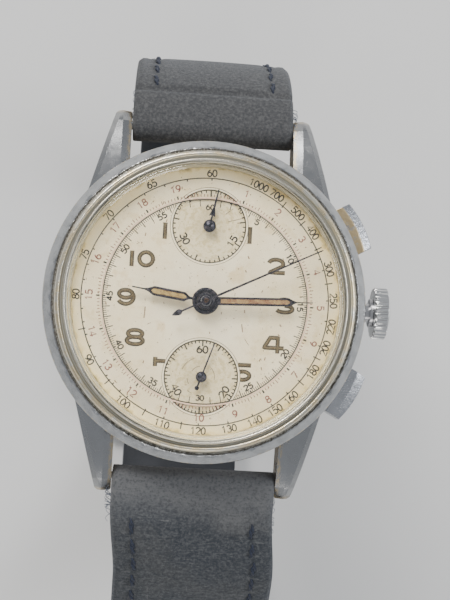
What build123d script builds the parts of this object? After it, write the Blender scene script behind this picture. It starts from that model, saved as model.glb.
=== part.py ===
"""Mechanical chronograph wrist watch on a buckled suede strap.

Frame: X runs to the crown (3 o'clock), Y runs to 12 o'clock, Z points out of the dial.
The origin is on the dial axis, on the plane the strap loop stands on.
Every piece is drawn with the dial face at Z = 0 and lifted by DIAL_HEIGHT when written.
"""

import math
import os

from build123d import *

# ---------------------------------------------------------------- driving dimensions (mm)
DIAL_HEIGHT = 50.7        # dial face above the plane the strap stands on

CASE_R = 18.1             # largest radius of the bezel
MID_R = 17.6              # middle case
MID_TOP = -0.8
MID_BOTTOM = -6.0
BACK_BOTTOM = -7.8
BACK_R = 16.9
BORE_R = 15.65            # bore that holds the movement
LIP_R = 15.35             # bore of the bezel above the shelf the crystal stands on
SHELF_R = 15.1            # opening of that shelf
SHELF_TOP = 1.3
CRYSTAL_R = 15.33
CRYSTAL_WALL = 0.24
CRYSTAL_EDGE = 2.25
CRYSTAL_TOP = 4.4
CRYSTAL_DOME = 0.6         # thickness of the dome

LUG_WIDTH = 18.6          # space between the lugs
LUG_TIP_Y = 21.8
LUG_TIP_X = 11.15
LUG_ROOT_X = 13.95
LUG_ROOT_Y = 11.3
LUG_BEVEL = 1.05          # width of the flat along the inner edge of a lug
LUG_BEVEL_DEPTH = 0.5
BAR_Y = 20.0
BAR_Z = -4.9
BAR_R = 0.75

DIAL_R = 15.75
DIAL_T = 0.4
SUB_R = 4.3
SUB_Y = 8.4
SUB_DEPTH = 0.12

STEM_Z = -3.7
CROWN_R = 2.95
CROWN_ROOT_R = 2.72       # bottom of the flutes
CROWN_X0 = 19.4
CROWN_LENGTH = 2.05
CROWN_POCKET = 1.45       # depth of the recess for the tube
CROWN_TEETH = 26
PUSHER_ANGLE = 29.5
PUSHER_Z = -4.0
PUSHER_WIDTH = 5.7
PUSHER_HEIGHT = 3.0
PUSHER_R0 = 18.25
PUSHER_R1 = 20.45
PUSHER_BOW = 0.34         # how far the front bows out
PUSHER_BEVEL_DROP = 0.55
PUSHER_BEVEL_REACH = 1.05

PLATE_R = 15.4
PLATE_TOP = -1.4
PLATE_BOTTOM = -3.0
BRIDGE_TOP = -4.6
BRIDGE_BOTTOM = -5.4
EDGE_R = 14.6             # outer edge of the bridges

CENTRE = (0.0, 0.0)
COUNTER = (0.0, SUB_Y)
FOURTH = (0.0, -SUB_Y)
THIRD = (-1.96, -4.80)
ESCAPE = (-3.63, -9.37)
PALLET = (-5.65, -8.16)
BALANCE = (-8.6, -6.4)
BARREL = (5.6, 4.0)
CROWN_WHEEL = (10.9, 0.6)
IDLER = (0.0, 4.55)
CLICK = (8.9, 8.6)
MINUTE_WHEEL = (2.35, 1.9)
COLUMN = (6.0, -10.6)
LEVER_PIVOT = (13.9, -1.9)
HAMMER_PIVOT = (10.2, -10.4)

STRAP_W0 = 18.2           # strap width at the lugs
STRAP_W1 = 16.0           # strap width at the buckle
STRAP_T0 = 3.4            # strap thickness at the lugs
STRAP_T1 = 2.1            # strap thickness at the buckle
BUCKLE_Y = -9.0
FLAT_Y = 11.1             # where the flat bottom of the loop ends
HOLES = 6
HOLE_AT = 71.4            # distance from the lug bar to the hole in use
HOLE_STEP = 6.5
HOLE_IN_USE = 2
HOLE_R = 0.95
HOLE_STRETCH = 0.25       # half length of the straight part of a tongue hole
USED_HOLE_STRETCH = 0.75  # the hole in use has been pulled longer
LAYER_SHORT = 4.25        # height of the middle of the short strap where it lies flat

HOUR_ANGLE = 278.0        # clockwise from 12
MINUTE_ANGLE = 87.8
CHRONO_ANGLE = 63.5
COUNTER_ANGLE = 11.2
SECONDS_ANGLE = 18.7


# ---------------------------------------------------------------- helpers
def polar(radius, degrees):
    """Point at a radius, degrees anticlockwise from +X."""
    a = math.radians(degrees)
    return (radius * math.cos(a), radius * math.sin(a))


def disc(at, radius, low, high):
    """Upright cylinder between two heights."""
    return Pos(at[0], at[1], (low + high) / 2) * Cylinder(radius, high - low)


def ring(at, outer, inner, low, high):
    """Upright tube between two heights."""
    return disc(at, outer, low, high) - disc(at, inner, low - 1, high + 1)


def plate(points, low, high):
    """Flat piece cut to a polygon."""
    face = make_face(Polyline(*points, close=True))
    return Pos(0, 0, low) * extrude(face, high - low)


def capsule(start, end, radius, low, high):
    """Flat arm with round ends."""
    dx = end[0] - start[0]
    dy = end[1] - start[1]
    length = math.hypot(dx, dy)
    middle = ((start[0] + end[0]) / 2, (start[1] + end[1]) / 2, (low + high) / 2)
    arm = Pos(*middle) * Rot(0, 0, math.degrees(math.atan2(dy, dx)))
    bar = arm * Box(length, 2 * radius, high - low)
    return bar + disc(start, radius, low, high) + disc(end, radius, low, high)


def turned(points):
    """Solid of revolution about the dial axis from (radius, height) points."""
    face = make_face(Plane.XZ * Polyline(*points, close=True))
    return revolve(face, Axis.Z)


def tooth_outline(radius, teeth, depth):
    """Points around a toothed wheel."""
    points = []
    pitch = 360.0 / teeth
    for i in range(teeth):
        for share, r in ((0.0, radius - depth), (0.3, radius - depth), (0.45, radius), (0.8, radius)):
            points.append(polar(r, pitch * (i + share)))
    return points


def wheel(at, radius, teeth, low, high, depth=0.16, spokes=4):
    """Toothed wheel with crossings."""
    body = plate(tooth_outline(radius, teeth, depth), low, high)
    if spokes and radius > 2.0:
        rim = radius - depth - 0.35
        hub = max(0.75, radius * 0.2)
        crossing = ring((0, 0), rim, hub, low - 0.1, high + 0.1)
        for i in range(spokes):
            arm = Rot(0, 0, i * 360.0 / spokes) * Pos(rim / 2, 0, (low + high) / 2)
            crossing -= arm * Box(rim + 1.0, 0.42, high - low + 1)
        body -= crossing
    return Pos(at[0], at[1], 0) * body


def pinion(at, radius, low, high, leaves=10):
    """Small solid pinion."""
    body = plate(tooth_outline(radius, leaves, radius * 0.28), low, high)
    return Pos(at[0], at[1], 0) * body


def arbor(at, low, high, radius=0.25, pivot=0.12, tip=0.3):
    """Arbor with a thinner pivot at each end."""
    return disc(at, radius, low + tip, high - tip) + disc(at, pivot, low, high)


def hand_turn(degrees):
    """Turn something drawn along +Y to a clock angle."""
    return Rot(0, 0, -degrees)


def spiral(inner, outer, turns, thickness, low, high, steps=40):
    """Flat coil of strip."""
    out_side = []
    in_side = []
    count = int(turns * steps)
    for i in range(count + 1):
        share = i / count
        r = inner + (outer - inner) * share
        degrees = 360.0 * turns * share
        out_side.append(polar(r + thickness / 2, degrees))
        in_side.append(polar(r - thickness / 2, degrees))
    return plate(out_side + in_side[::-1], low, high)


def save(name, shape):
    """Write one piece, lifted to its height above the standing plane."""
    export_step(Pos(0, 0, DIAL_HEIGHT) * shape, f"parts/{name}.step")


# ---------------------------------------------------------------- case
def bezel():
    """Snap-on bezel: polished cone, groove, two ridges and the shelf under the crystal."""
    outline = [
        (CASE_R, -0.75), (CASE_R, -0.15), (18.02, 0.02), (17.1, 1.1), (17.02, 1.12),
        (16.96, 0.98), (16.82, 0.98), (16.72, 1.6), (16.6, 1.8), (16.42, 1.92),
        (16.28, 1.9), (16.16, 1.7), (16.08, 1.55), (15.96, 1.55), (15.9, 1.66),
        (15.86, 1.92), (15.78, 2.08), (15.68, 2.13), (15.58, 2.1), (15.46, 1.92),
        (LIP_R, 1.84), (LIP_R, SHELF_TOP), (SHELF_R, SHELF_TOP), (SHELF_R, 0.03),
        (15.9, 0.03), (15.9, -0.15), (16.52, -0.15), (16.52, -0.75),
    ]
    return turned(outline)


def crystal():
    """Domed acrylic crystal with an upright wall."""
    rise = CRYSTAL_TOP - CRYSTAL_EDGE
    dome_r = (CRYSTAL_R ** 2 + rise ** 2) / (2 * rise)
    outer = Pos(0, 0, CRYSTAL_TOP - dome_r) * Sphere(dome_r)
    inner = Pos(0, 0, CRYSTAL_TOP - CRYSTAL_DOME - dome_r) * Sphere(dome_r)
    body = disc(CENTRE, CRYSTAL_R, SHELF_TOP + 0.01, CRYSTAL_TOP + 0.1) & outer
    hollow = disc(CENTRE, CRYSTAL_R - CRYSTAL_WALL, -1, CRYSTAL_TOP) & inner
    return body - hollow


def lug():
    """Long faceted lug at 1 o'clock side, pointing to +Y."""
    inner = LUG_WIDTH / 2
    plan = [(inner, 10.0), (inner, LUG_TIP_Y - 0.25), (inner + 0.25, LUG_TIP_Y), (10.8, LUG_TIP_Y),
            (LUG_TIP_X, LUG_TIP_Y - 0.3), (LUG_ROOT_X, LUG_ROOT_Y), (13.0, 8.0)]
    side = [(8.0, -0.95), (12.0, -1.05), (15.0, -1.35), (18.0, -2.05), (20.4, -3.15),
            (21.4, -4.0), (LUG_TIP_Y, -4.9), (21.6, -6.2), (21.0, -6.75), (19.5, -6.8),
            (16.0, -6.2), (12.0, -5.9), (8.0, -5.9)]
    upright = plate(plan, -9, 1)
    profile = extrude(Plane.YZ * make_face(Polyline(*side, close=True)), 20)
    body = upright & profile
    inner_cut = Pos(inner, 15.0, -1.2) * lug_bevel(side, LUG_BEVEL, LUG_BEVEL_DEPTH)
    outer = body - inner_cut
    return outer - outer_bevel(side)


def lug_bevel(side, width, depth):
    """Sloping cutter that follows the top of a lug along its inner edge."""
    top = side[:7]
    near = [(-0.01, y - 15.0, z + 1.2 - depth) for y, z in top]
    away = [(width, y - 15.0, z + 1.2 + 0.001) for y, z in top]
    return bevel_cutter(near, away)


def outer_bevel(side):
    """Sloping cutter along the straight outer edge of a lug."""
    slope = (LUG_ROOT_X - LUG_TIP_X) / (LUG_TIP_Y - 0.3 - LUG_ROOT_Y)
    near = []
    away = []
    for y, z in side[:7]:
        edge = LUG_ROOT_X - (y - LUG_ROOT_Y) * slope
        near.append((edge + 0.35, y, z - 0.75))
        away.append((edge - 0.6, y, z + 0.001))
    return bevel_cutter(near, away)


def bevel_cutter(near, away):
    """Chain of wedges between an edge line, a line on the top face and a line above both."""
    cutter = None
    for i in range(len(near) - 1):
        quads = []
        for k in (i, i + 1):
            a = near[k]
            b = away[k]
            high = (a[0], a[1], b[2] + 1.2)
            quads.append(make_face(Polyline(a, b, (b[0], b[1], b[2] + 1.2), high, close=True)))
        wedge = loft([quads[0], quads[1]])
        cutter = wedge if cutter is None else cutter + wedge
    return cutter


def mid_case():
    """Middle of the case with its four lugs, stem bore and pusher bores."""
    outline = [
        (BORE_R, -0.85), (15.95, -0.85), (15.95, -0.2), (16.5, -0.2), (16.5, MID_TOP),
        (MID_R - 0.1, MID_TOP), (MID_R, MID_TOP - 0.1), (MID_R, -5.6),
        (MID_R - 0.35, MID_BOTTOM), (16.2, MID_BOTTOM), (16.2, -6.3), (BORE_R, -6.3),
    ]
    body = turned(outline)
    quarter = lug()
    quarter -= disc(CENTRE, BORE_R + 0.5, -10, 2)
    quarter -= disc(CENTRE, BACK_R + 0.05, -10, MID_BOTTOM)
    pair = quarter + mirror(quarter, Plane.YZ)
    body = body + pair + mirror(pair, Plane.XZ)
    body = body - Pos(16.5, 0, STEM_Z) * Rot(0, 90, 0) * Cylinder(1.1, 6)
    for side in (1, -1):
        body = body - pusher_place(side) * Pos(16.5, 0, 0) * Rot(0, 90, 0) * Cylinder(1.1, 6)
    for y in (BAR_Y, -BAR_Y):
        body = body - Pos(0, y, BAR_Z) * Rot(0, 90, 0) * Cylinder(0.42, 20.2)
    return body


def case_back():
    """Snap back with a stepped outer face and a prising notch."""
    outline = [
        (0, -7.05), (15.2, -7.05), (15.2, -6.32), (16.25, -6.32), (16.25, -6.02),
        (BACK_R, -6.02), (BACK_R, -6.5), (16.3, -6.95), (14.8, -7.25), (14.2, -7.6),
        (6.0, BACK_BOTTOM), (0, BACK_BOTTOM),
    ]
    notch = Rot(0, 0, 205) * Pos(BACK_R, 0, -6.2) * Box(0.7, 2.4, 0.36)
    return turned(outline) - notch


def dial():
    """Dial disc with two sunk sub-dials, hand holes and two feet."""
    body = disc(CENTRE, DIAL_R, -DIAL_T, 0)
    for at in (COUNTER, FOURTH):
        body -= disc(at, SUB_R, -SUB_DEPTH, 1)
        body -= disc(at, 0.36, -2, 1)
    body -= disc(CENTRE, 1.02, -2, 1)
    for at in ((-12.2, 6.0), (12.2, -6.0)):
        body += disc(at, 0.35, -1.9, -DIAL_T)
    return body


def pusher_place(side):
    """Frame of a pusher: local X runs outward."""
    return Pos(0, 0, PUSHER_Z) * Rot(0, 0, side * PUSHER_ANGLE)


def crown_tube():
    """Tube the crown runs on, with the collar outside the case."""
    turn = Rot(0, 90, 0)
    tube = Pos(17.55, 0, STEM_Z) * turn * Cylinder(1.09, 3.6)
    collar = Pos(19.18, 0, STEM_Z) * turn * Cylinder(1.6, 0.34)
    bore = Pos(17.55, 0, STEM_Z) * turn * Cylinder(0.68, 4)
    return tube + collar - bore


def pusher_tubes():
    """One bush for each pusher."""
    shapes = []
    for side in (1, -1):
        tube = Cylinder(1.09, 1.9) - Cylinder(0.62, 3)
        shapes.append(pusher_place(side) * Pos(16.65, 0, 0) * Rot(0, 90, 0) * tube)
    return Compound(shapes)


# ---------------------------------------------------------------- outside controls
def crown():
    """Fluted winding crown with a domed end and a hollow underside."""
    axis = Pos(CROWN_X0, 0, STEM_Z) * Rot(0, 90, 0)
    teeth = []
    pitch = 360.0 / CROWN_TEETH
    flank = ((0.0, CROWN_ROOT_R), (0.22, CROWN_ROOT_R), (0.42, CROWN_R), (0.8, CROWN_R))
    for i in range(CROWN_TEETH):
        teeth += [polar(r, pitch * (i + share)) for share, r in flank]
    body = plate(teeth, 0, CROWN_LENGTH)
    dome = Pos(0, 0, CROWN_LENGTH - 8.2) * Sphere(8.2)
    edge = [
        (0, -0.1), (2.72, -0.1), (3.0, 0.25), (3.0, CROWN_LENGTH - 0.5),
        (2.5, CROWN_LENGTH), (0, CROWN_LENGTH),
    ]
    body = body & dome & turned(edge)
    body -= disc(CENTRE, 1.25, -1, CROWN_POCKET)
    return axis * body


def winding_stem():
    """Winding stem screwed into the crown, square where the pinions ride."""
    place = Rot(0, 90, 0)
    thick = Pos(17.7, 0, STEM_Z) * place * Cylinder(0.6, 6.3)
    square = Pos(12.55, 0, STEM_Z) * Box(4.0, 0.7, 0.7)
    return thick + square


def winding_pinion():
    """Pinion that winds the crown wheel."""
    body = plate(tooth_outline(1.68, 16, 0.3), 0, 1.1)
    body -= Box(0.74, 0.74, 4)
    return Pos(12.6, 0, STEM_Z) * Rot(0, 90, 0) * body


def sliding_pinion():
    """Pinion that slides on the square of the stem."""
    body = plate(tooth_outline(1.3, 14, 0.22), 0, 0.45) + disc(CENTRE, 0.85, 0.4, 0.8)
    body += plate(tooth_outline(1.3, 14, 0.22), 0.75, 1.15)
    body -= Box(0.74, 0.74, 4)
    return Pos(11.35, 0, STEM_Z) * Rot(0, 90, 0) * body


def pusher(side):
    """Pusher with a bowed, bevelled cap, and the rod that reaches the levers."""
    half = PUSHER_WIDTH / 2
    shoulder = PUSHER_R1 - PUSHER_BOW
    sides = Polyline((shoulder, -half), (PUSHER_R0, -half), (PUSHER_R0, half), (shoulder, half))
    front = ThreePointArc((shoulder, half), (PUSHER_R1, 0), (shoulder, -half))
    head = extrude(make_face(sides + front), PUSHER_HEIGHT / 2, both=True)
    bowed = head.faces().filter_by(GeomType.CYLINDER)[0]
    rims = head.edges().filter_by(GeomType.CIRCLE)
    head = chamfer(rims, PUSHER_BEVEL_DROP, PUSHER_BEVEL_REACH, reference=bowed)
    rod = Pos(17.05, 0, 0) * Rot(0, 90, 0) * Cylinder(0.58, 2.9)
    return pusher_place(side) * (head + rod)


# ---------------------------------------------------------------- hands
def blade(points):
    """Mirror a half outline (x, y) about the Y axis."""
    return points + [(-x, y) for x, y in points[::-1]]


def hour_window():
    """Half outline of the opening in the hour hand."""
    return [(0.05, 2.15), (0.33, 2.6), (0.33, 5.75), (0.05, 6.1)]


def minute_window():
    """Half outline of the opening in the minute hand."""
    return [(0.30, 1.65), (0.30, 8.95), (0.05, 9.35)]


def hour_hand():
    """Syringe hour hand with an open body."""
    half = [
        (0.14, 0.5), (0.14, 1.75), (0.2, 1.9), (0.52, 2.35), (0.52, 5.85),
        (0.2, 6.45), (0.08, 6.9), (0.07, 8.2), (0.04, 8.3),
    ]
    body = plate(blade(half), 0.75, 0.93) + disc(CENTRE, 1.5, 0.75, 0.93)
    body += disc(CENTRE, 1.15, 0.6, 0.75)
    body -= plate(blade(hour_window()), 0.5, 1.2)
    body -= disc(CENTRE, 0.95, 0, 2)
    return hand_turn(HOUR_ANGLE) * body


def hour_lume():
    """Luminous filling of the hour hand."""
    return hand_turn(HOUR_ANGLE) * plate(blade(hour_window()), 0.78, 0.95)


def minute_hand():
    """Syringe minute hand with an open body."""
    half = [(0.46, 0.7), (0.46, 9.1), (0.2, 9.75), (0.07, 10.1), (0.06, 11.8), (0.03, 11.9)]
    body = plate(blade(half), 1.15, 1.33) + disc(CENTRE, 0.95, 1.15, 1.33)
    body += disc(CENTRE, 0.82, 1.0, 1.42)
    body -= plate(blade(minute_window()), 0.5, 2)
    body -= disc(CENTRE, 0.6, 0, 2)
    return hand_turn(MINUTE_ANGLE) * body


def minute_lume():
    """Luminous filling of the minute hand."""
    return hand_turn(MINUTE_ANGLE) * plate(blade(minute_window()), 1.18, 1.35)


def chrono_seconds_hand():
    """Long centre seconds hand with a spade on its tail."""
    half = [
        (0.03, -4.08), (0.2, -3.75), (0.34, -3.3), (0.3, -3.08), (0.1, -2.85), (0.09, -1.0),
        (0.14, 0.0), (0.11, 1.5), (0.075, 13.9), (0.04, 14.2),
    ]
    body = plate(blade(half), 1.55, 1.68)
    body += disc(CENTRE, 0.5, 1.5, 2.2)
    body -= disc(CENTRE, 0.2, 0, 1.9)
    return hand_turn(CHRONO_ANGLE) * body


def minute_counter_hand():
    """Arrow-shaped hand of the minute counter."""
    half = [(0.11, 0.0), (0.11, 1.22), (0.37, 1.08), (0.13, 2.05), (0.07, 4.15), (0.04, 4.25)]
    body = plate(blade(half), 0.32, 0.45) + disc(CENTRE, 0.7, 0.3, 0.6)
    body -= disc(CENTRE, 0.18, 0, 0.52)
    return Pos(0, SUB_Y, 0) * hand_turn(COUNTER_ANGLE) * body


def small_seconds_hand():
    """Running seconds hand with a disc on its tail."""
    half = [(0.1, -1.3), (0.1, 0.0), (0.09, 2.0), (0.07, 4.0), (0.04, 4.05)]
    body = plate(blade(half), 0.32, 0.45) + disc(CENTRE, 0.61, 0.3, 0.6)
    body += disc((0, -1.32), 0.25, 0.32, 0.45)
    body -= disc(CENTRE, 0.18, 0, 0.52)
    return Pos(0, -SUB_Y, 0) * hand_turn(SECONDS_ANGLE) * body


# ---------------------------------------------------------------- motion work
def hour_wheel():
    """Hour wheel with the pipe that carries the hour hand."""
    return (wheel(CENTRE, 2.6, 32, -0.85, -0.65, spokes=0)
            + disc(CENTRE, 0.94, -0.85, 0.93)) - disc(CENTRE, 0.64, -2, 2)


def cannon_pinion():
    """Cannon pinion with the pipe that carries the minute hand."""
    body = pinion(CENTRE, 0.95, -1.3, -0.9, 12) + disc(CENTRE, 0.59, -1.3, 1.42)
    return body - disc(CENTRE, 0.43, -2, 2)


def minute_wheel():
    """Minute wheel and its pinion beside the cannon pinion."""
    body = wheel(MINUTE_WHEEL, 2.05, 36, -1.25, -1.05, spokes=0)
    body += pinion(MINUTE_WHEEL, 0.5, -1.05, -0.55, 8)
    return body + disc(MINUTE_WHEEL, 0.2, -1.6, -0.5)


# ---------------------------------------------------------------- going train
def centre_wheel():
    """Centre wheel on its hollow arbor."""
    body = wheel(CENTRE, 4.6, 80, -3.45, -3.25) + pinion(CENTRE, 0.86, -4.45, -3.45, 12)
    body += disc(CENTRE, 0.42, -5.2, 0.2)
    return body - disc(CENTRE, 0.26, -6, 2)


def third_wheel():
    """Third wheel and its pinion."""
    body = wheel(THIRD, 3.6, 75, -4.3, -4.1) + pinion(THIRD, 0.6, -3.6, -3.15)
    return body + arbor(THIRD, -4.9, -2.7)


def fourth_wheel():
    """Fourth wheel, which carries the running seconds hand."""
    body = wheel(FOURTH, 3.4, 80, -3.45, -3.25) + pinion(FOURTH, 0.52, -4.5, -3.95)
    body += arbor(FOURTH, -4.9, -2.7) + disc(FOURTH, 0.17, -3.0, 0.5)
    return body


def escape_wheel():
    """Club-tooth escape wheel and pinion."""
    points = []
    for i in range(15):
        a = i * 24.0
        points += [polar(1.35, a), polar(1.45, a + 8), polar(1.9, a + 15), polar(1.86, a + 18.5),
                   polar(1.5, a + 16.5), polar(1.35, a + 19)]
    body = plate(points, -3.9, -3.75) - ring(CENTRE, 1.15, 0.5, -4, -3)
    for i in range(4):
        body += Rot(0, 0, 45 + 90 * i) * Pos(0.75, 0, -3.825) * Box(1.0, 0.2, 0.15)
    body = Pos(*ESCAPE, 0) * body
    return body + pinion(ESCAPE, 0.38, -3.65, -3.15, 8) + arbor(ESCAPE, -4.9, -2.7, 0.2, 0.1)


def pallet_fork():
    """Lever with two pallet stones and a notched fork."""
    to_balance = math.degrees(math.atan2(BALANCE[1] - PALLET[1], BALANCE[0] - PALLET[0]))
    arm = capsule((0, 0), (2.45, 0), 0.17, -3.92, -3.72)
    fork = capsule((2.45, -0.32), (2.95, -0.32), 0.12, -3.92, -3.72)
    fork += capsule((2.45, 0.32), (2.95, 0.32), 0.12, -3.92, -3.72)
    fork += capsule((2.45, -0.32), (2.45, 0.32), 0.12, -3.92, -3.72)
    body = arm + fork
    for side in (1, -1):
        body += capsule((0, 0), (-0.55, 1.25 * side), 0.16, -3.92, -3.72)
        body += Pos(-0.72, 1.38 * side, -3.82) * Rot(0, 0, -20 * side) * Box(0.5, 0.24, 0.2)
    place = Pos(PALLET[0], PALLET[1], 0) * Rot(0, 0, to_balance)
    return place * body + arbor(PALLET, -4.35, -2.7, 0.2, 0.1)


def balance():
    """Screwed balance on its staff, with the roller that meets the fork."""
    body = ring(CENTRE, 4.2, 3.75, -5.15, -4.75) + disc(CENTRE, 0.75, -5.1, -4.8)
    body += Pos(0, 0, -4.95) * Box(7.8, 0.55, 0.25)
    for i in range(14):
        if i in (0, 7):
            continue
        body += Rot(0, 0, i * 360 / 14) * Pos(4.25, 0, -4.95) * Rot(0, 90, 0) * Cylinder(0.17, 0.3)
    body = Rot(0, 0, 35) * body
    toward = math.degrees(math.atan2(PALLET[1] - BALANCE[1], PALLET[0] - BALANCE[0]))
    body += disc(CENTRE, 0.6, -4.15, -4.0)
    body += Rot(0, 0, toward) * Pos(0.5, 0, -3.9) * Cylinder(0.09, 0.4)
    return Pos(*BALANCE, 0) * body + arbor(BALANCE, -6.0, -2.7, 0.22, 0.1)


def hairspring():
    """Flat balance spring held by a stud under the balance cock."""
    coil = spiral(0.75, 2.3, 7, 0.06, -5.5, -5.35)
    stud = disc((2.3, 0), 0.16, -5.68, -5.35)
    return Pos(*BALANCE, 0) * (coil + stud)


def barrel():
    """Going barrel: toothed drum with its cover."""
    drum = wheel(BARREL, 6.0, 78, -3.9, -3.65, depth=0.2, spokes=0)
    drum += disc(BARREL, 5.7, -4.52, -3.65)
    drum -= disc(BARREL, 5.5, -4.4, -3.78)
    return drum - disc(BARREL, 0.72, -6, -2)


def mainspring():
    """Mainspring coiled in the barrel."""
    coil = spiral(1.35, 5.3, 12, 0.14, -4.36, -3.82, steps=32)
    return Pos(*BARREL, 0) * coil


def ratchet_wheel():
    """Ratchet wheel on the barrel arbor."""
    body = wheel(BARREL, 3.9, 54, -5.65, -5.45, spokes=0)
    return body + disc(BARREL, 0.68, -5.5, -2.75) + disc(BARREL, 1.2, -4.3, -3.85)


def crown_wheel():
    """Crown wheel between the winding pinion and the ratchet wheel."""
    body = wheel(CROWN_WHEEL, 2.35, 32, -5.65, -5.45, spokes=0)
    return body + disc(CROWN_WHEEL, 0.5, -5.65, -4.75)


def click():
    """Click that stops the ratchet wheel from running back."""
    toward = math.atan2(BARREL[1] - CLICK[1], BARREL[0] - CLICK[0])
    reach = math.dist(CLICK, BARREL) - 4.0
    tip = (CLICK[0] + reach * math.cos(toward + 0.25), CLICK[1] + reach * math.sin(toward + 0.25))
    body = capsule(CLICK, tip, 0.22, -5.65, -5.45)
    body += capsule(CLICK, (CLICK[0] + 0.9, CLICK[1] - 0.9), 0.35, -5.65, -5.45)
    return body + disc(CLICK, 0.5, -5.65, -5.45) + disc(CLICK, 0.28, -5.5, -4.75)


# ---------------------------------------------------------------- chronograph work
def heart(at, low, high):
    """Return-to-zero heart cam."""
    lobes = disc((0.2, 0), 0.48, low, high) + disc((-0.2, 0), 0.48, low, high)
    lobes += plate([(-0.6, -0.27), (0.6, -0.27), (0.0, -1.0)], low, high)
    return Pos(at[0], at[1], 0) * lobes


def chrono_runner():
    """Centre chronograph wheel, heart and long arbor up to the seconds hand."""
    body = wheel(CENTRE, 3.2, 100, -5.9, -5.75) + heart(CENTRE, -6.22, -6.0)
    return body + disc(CENTRE, 0.19, -6.6, 1.89) + disc(CENTRE, 0.5, -6.05, -5.55)


def minute_runner():
    """Minute-counter wheel, heart and arbor."""
    body = wheel(COUNTER, 2.5, 45, -5.9, -5.75) + heart(COUNTER, -6.22, -6.0)
    body += disc(COUNTER, 0.17, -6.6, 0.5) + disc(COUNTER, 0.45, -6.05, -5.55)
    return body


def minute_idler():
    """Intermediate wheel of the minute counter."""
    return wheel(IDLER, 1.32, 20, -5.9, -5.75, spokes=0) + disc(IDLER, 0.25, -6.5, -5.65)


def column_wheel():
    """Column wheel: ratchet base with six columns."""
    body = plate(tooth_outline(1.5, 12, 0.2), -5.55, -5.3)
    for i in range(6):
        body += Pos(*polar(0.98, 60 * i), -5.9) * Rot(0, 0, 60 * i) * Box(0.62, 0.45, 0.8)
    body += disc(CENTRE, 0.5, -6.3, -2.9)
    return Pos(*COLUMN, 0) * body


def lever_tab(side):
    """Bent-down tab that meets a pusher rod."""
    return Rot(0, 0, side * PUSHER_ANGLE) * Pos(15.3, 0, -4.7) * Box(0.36, 1.8, 2.6)


def operating_lever():
    """Lever between the start pusher and the column wheel."""
    tip = polar(15.0, PUSHER_ANGLE)
    body = capsule(LEVER_PIVOT, tip, 0.5, -6.0, -5.8)
    body += capsule(LEVER_PIVOT, (8.15, -9.9), 0.45, -6.0, -5.8)
    body += disc(LEVER_PIVOT, 0.75, -6.0, -5.8) + disc(LEVER_PIVOT, 0.28, -6.0, -4.75)
    return body + lever_tab(1)


def reset_hammer():
    """Hammer lever between the reset pusher and the two hearts."""
    tip = polar(15.0, -PUSHER_ANGLE)
    body = capsule(HAMMER_PIVOT, tip, 0.5, -6.25, -6.05)
    body += capsule(HAMMER_PIVOT, (2.6, 0.9), 0.45, -6.25, -6.05)
    body += capsule((2.6, 0.9), (3.6, 8.9), 0.4, -6.25, -6.05)
    body += disc(HAMMER_PIVOT, 0.8, -6.25, -6.05) + disc(HAMMER_PIVOT, 0.3, -6.25, -2.9)
    tab = Rot(0, 0, -PUSHER_ANGLE) * Pos(15.3, 0, -4.75) * Box(0.36, 1.8, 2.9)
    return body + tab


# ---------------------------------------------------------------- plates, bridges, jewels, screws
JEWELS = [(THIRD, 0.13), (FOURTH, 0.19), (ESCAPE, 0.11), (PALLET, 0.11), (BALANCE, 0.11)]
UPPER_JEWELS = [(THIRD, 0.13), (FOURTH, 0.13), (ESCAPE, 0.11)]
SCREWS = [
    ((12.0, 7.0), -5.4), ((3.8, 13.0), -5.4), ((13.75, -3.1), -5.4),
    ((3.6, -12.9), -5.4), ((-5.4, -12.4), -5.4), ((4.9, -4.6), -5.4),
    ((-5.6, 1.6), -6.75), ((-3.8, 11.0), -6.75),
    ((-12.9, -1.6), -6.45), ((-8.1, -11.4), -4.5),
]


def jewels():
    """Pierced jewels of the plate and bridges."""
    stones = [ring(at, 0.55, hole, -3.0, -2.62) for at, hole in JEWELS]
    stones += [ring(at, 0.55, hole, -5.0, -4.6) for at, hole in UPPER_JEWELS]
    stones.append(ring(PALLET, 0.45, 0.11, -4.42, -4.22))
    stones.append(ring(BALANCE, 0.6, 0.11, -6.1, -5.8))
    stones.append(ring(CENTRE, 0.6, 0.2, -6.62, -6.35))
    stones.append(ring(COUNTER, 0.6, 0.18, -6.62, -6.35))
    return Compound(stones)


def screw(at, seat):
    """Slotted cheese-head screw; the head stands below its seat."""
    head = disc(at, 0.62, seat - 0.25, seat) - Pos(at[0], at[1], seat - 0.25) * Box(2, 0.18, 0.2)
    return head + disc(at, 0.32, seat, PLATE_BOTTOM + 0.9)


def movement_screws():
    """All bridge screws."""
    return Compound([screw(at, seat) for at, seat in SCREWS])


def screw_holes():
    """Clearance for every screw shank."""
    holes = None
    for at, seat in SCREWS:
        hole = disc(at, 0.33, seat - 0.5, PLATE_BOTTOM + 0.95)
        holes = hole if holes is None else holes + hole
    return holes


def stem_channel():
    """Room for the stem and its two pinions."""
    channel = Pos(14.4, 0, STEM_Z) * Rot(0, 90, 0) * Cylinder(0.75, 8.4)
    channel += Pos(12.5, 0, STEM_Z) * Rot(0, 90, 0) * Cylinder(1.78, 2.9)
    return channel


def tab_notches():
    """Notches in the rim of the plate for the lever tabs."""
    low = Rot(0, 0, PUSHER_ANGLE) * Pos(15.2, 0, -4.2) * Box(1.7, 2.6, 3.2)
    return low + Rot(0, 0, -PUSHER_ANGLE) * Pos(15.2, 0, -4.2) * Box(1.7, 2.6, 3.2)


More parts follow.
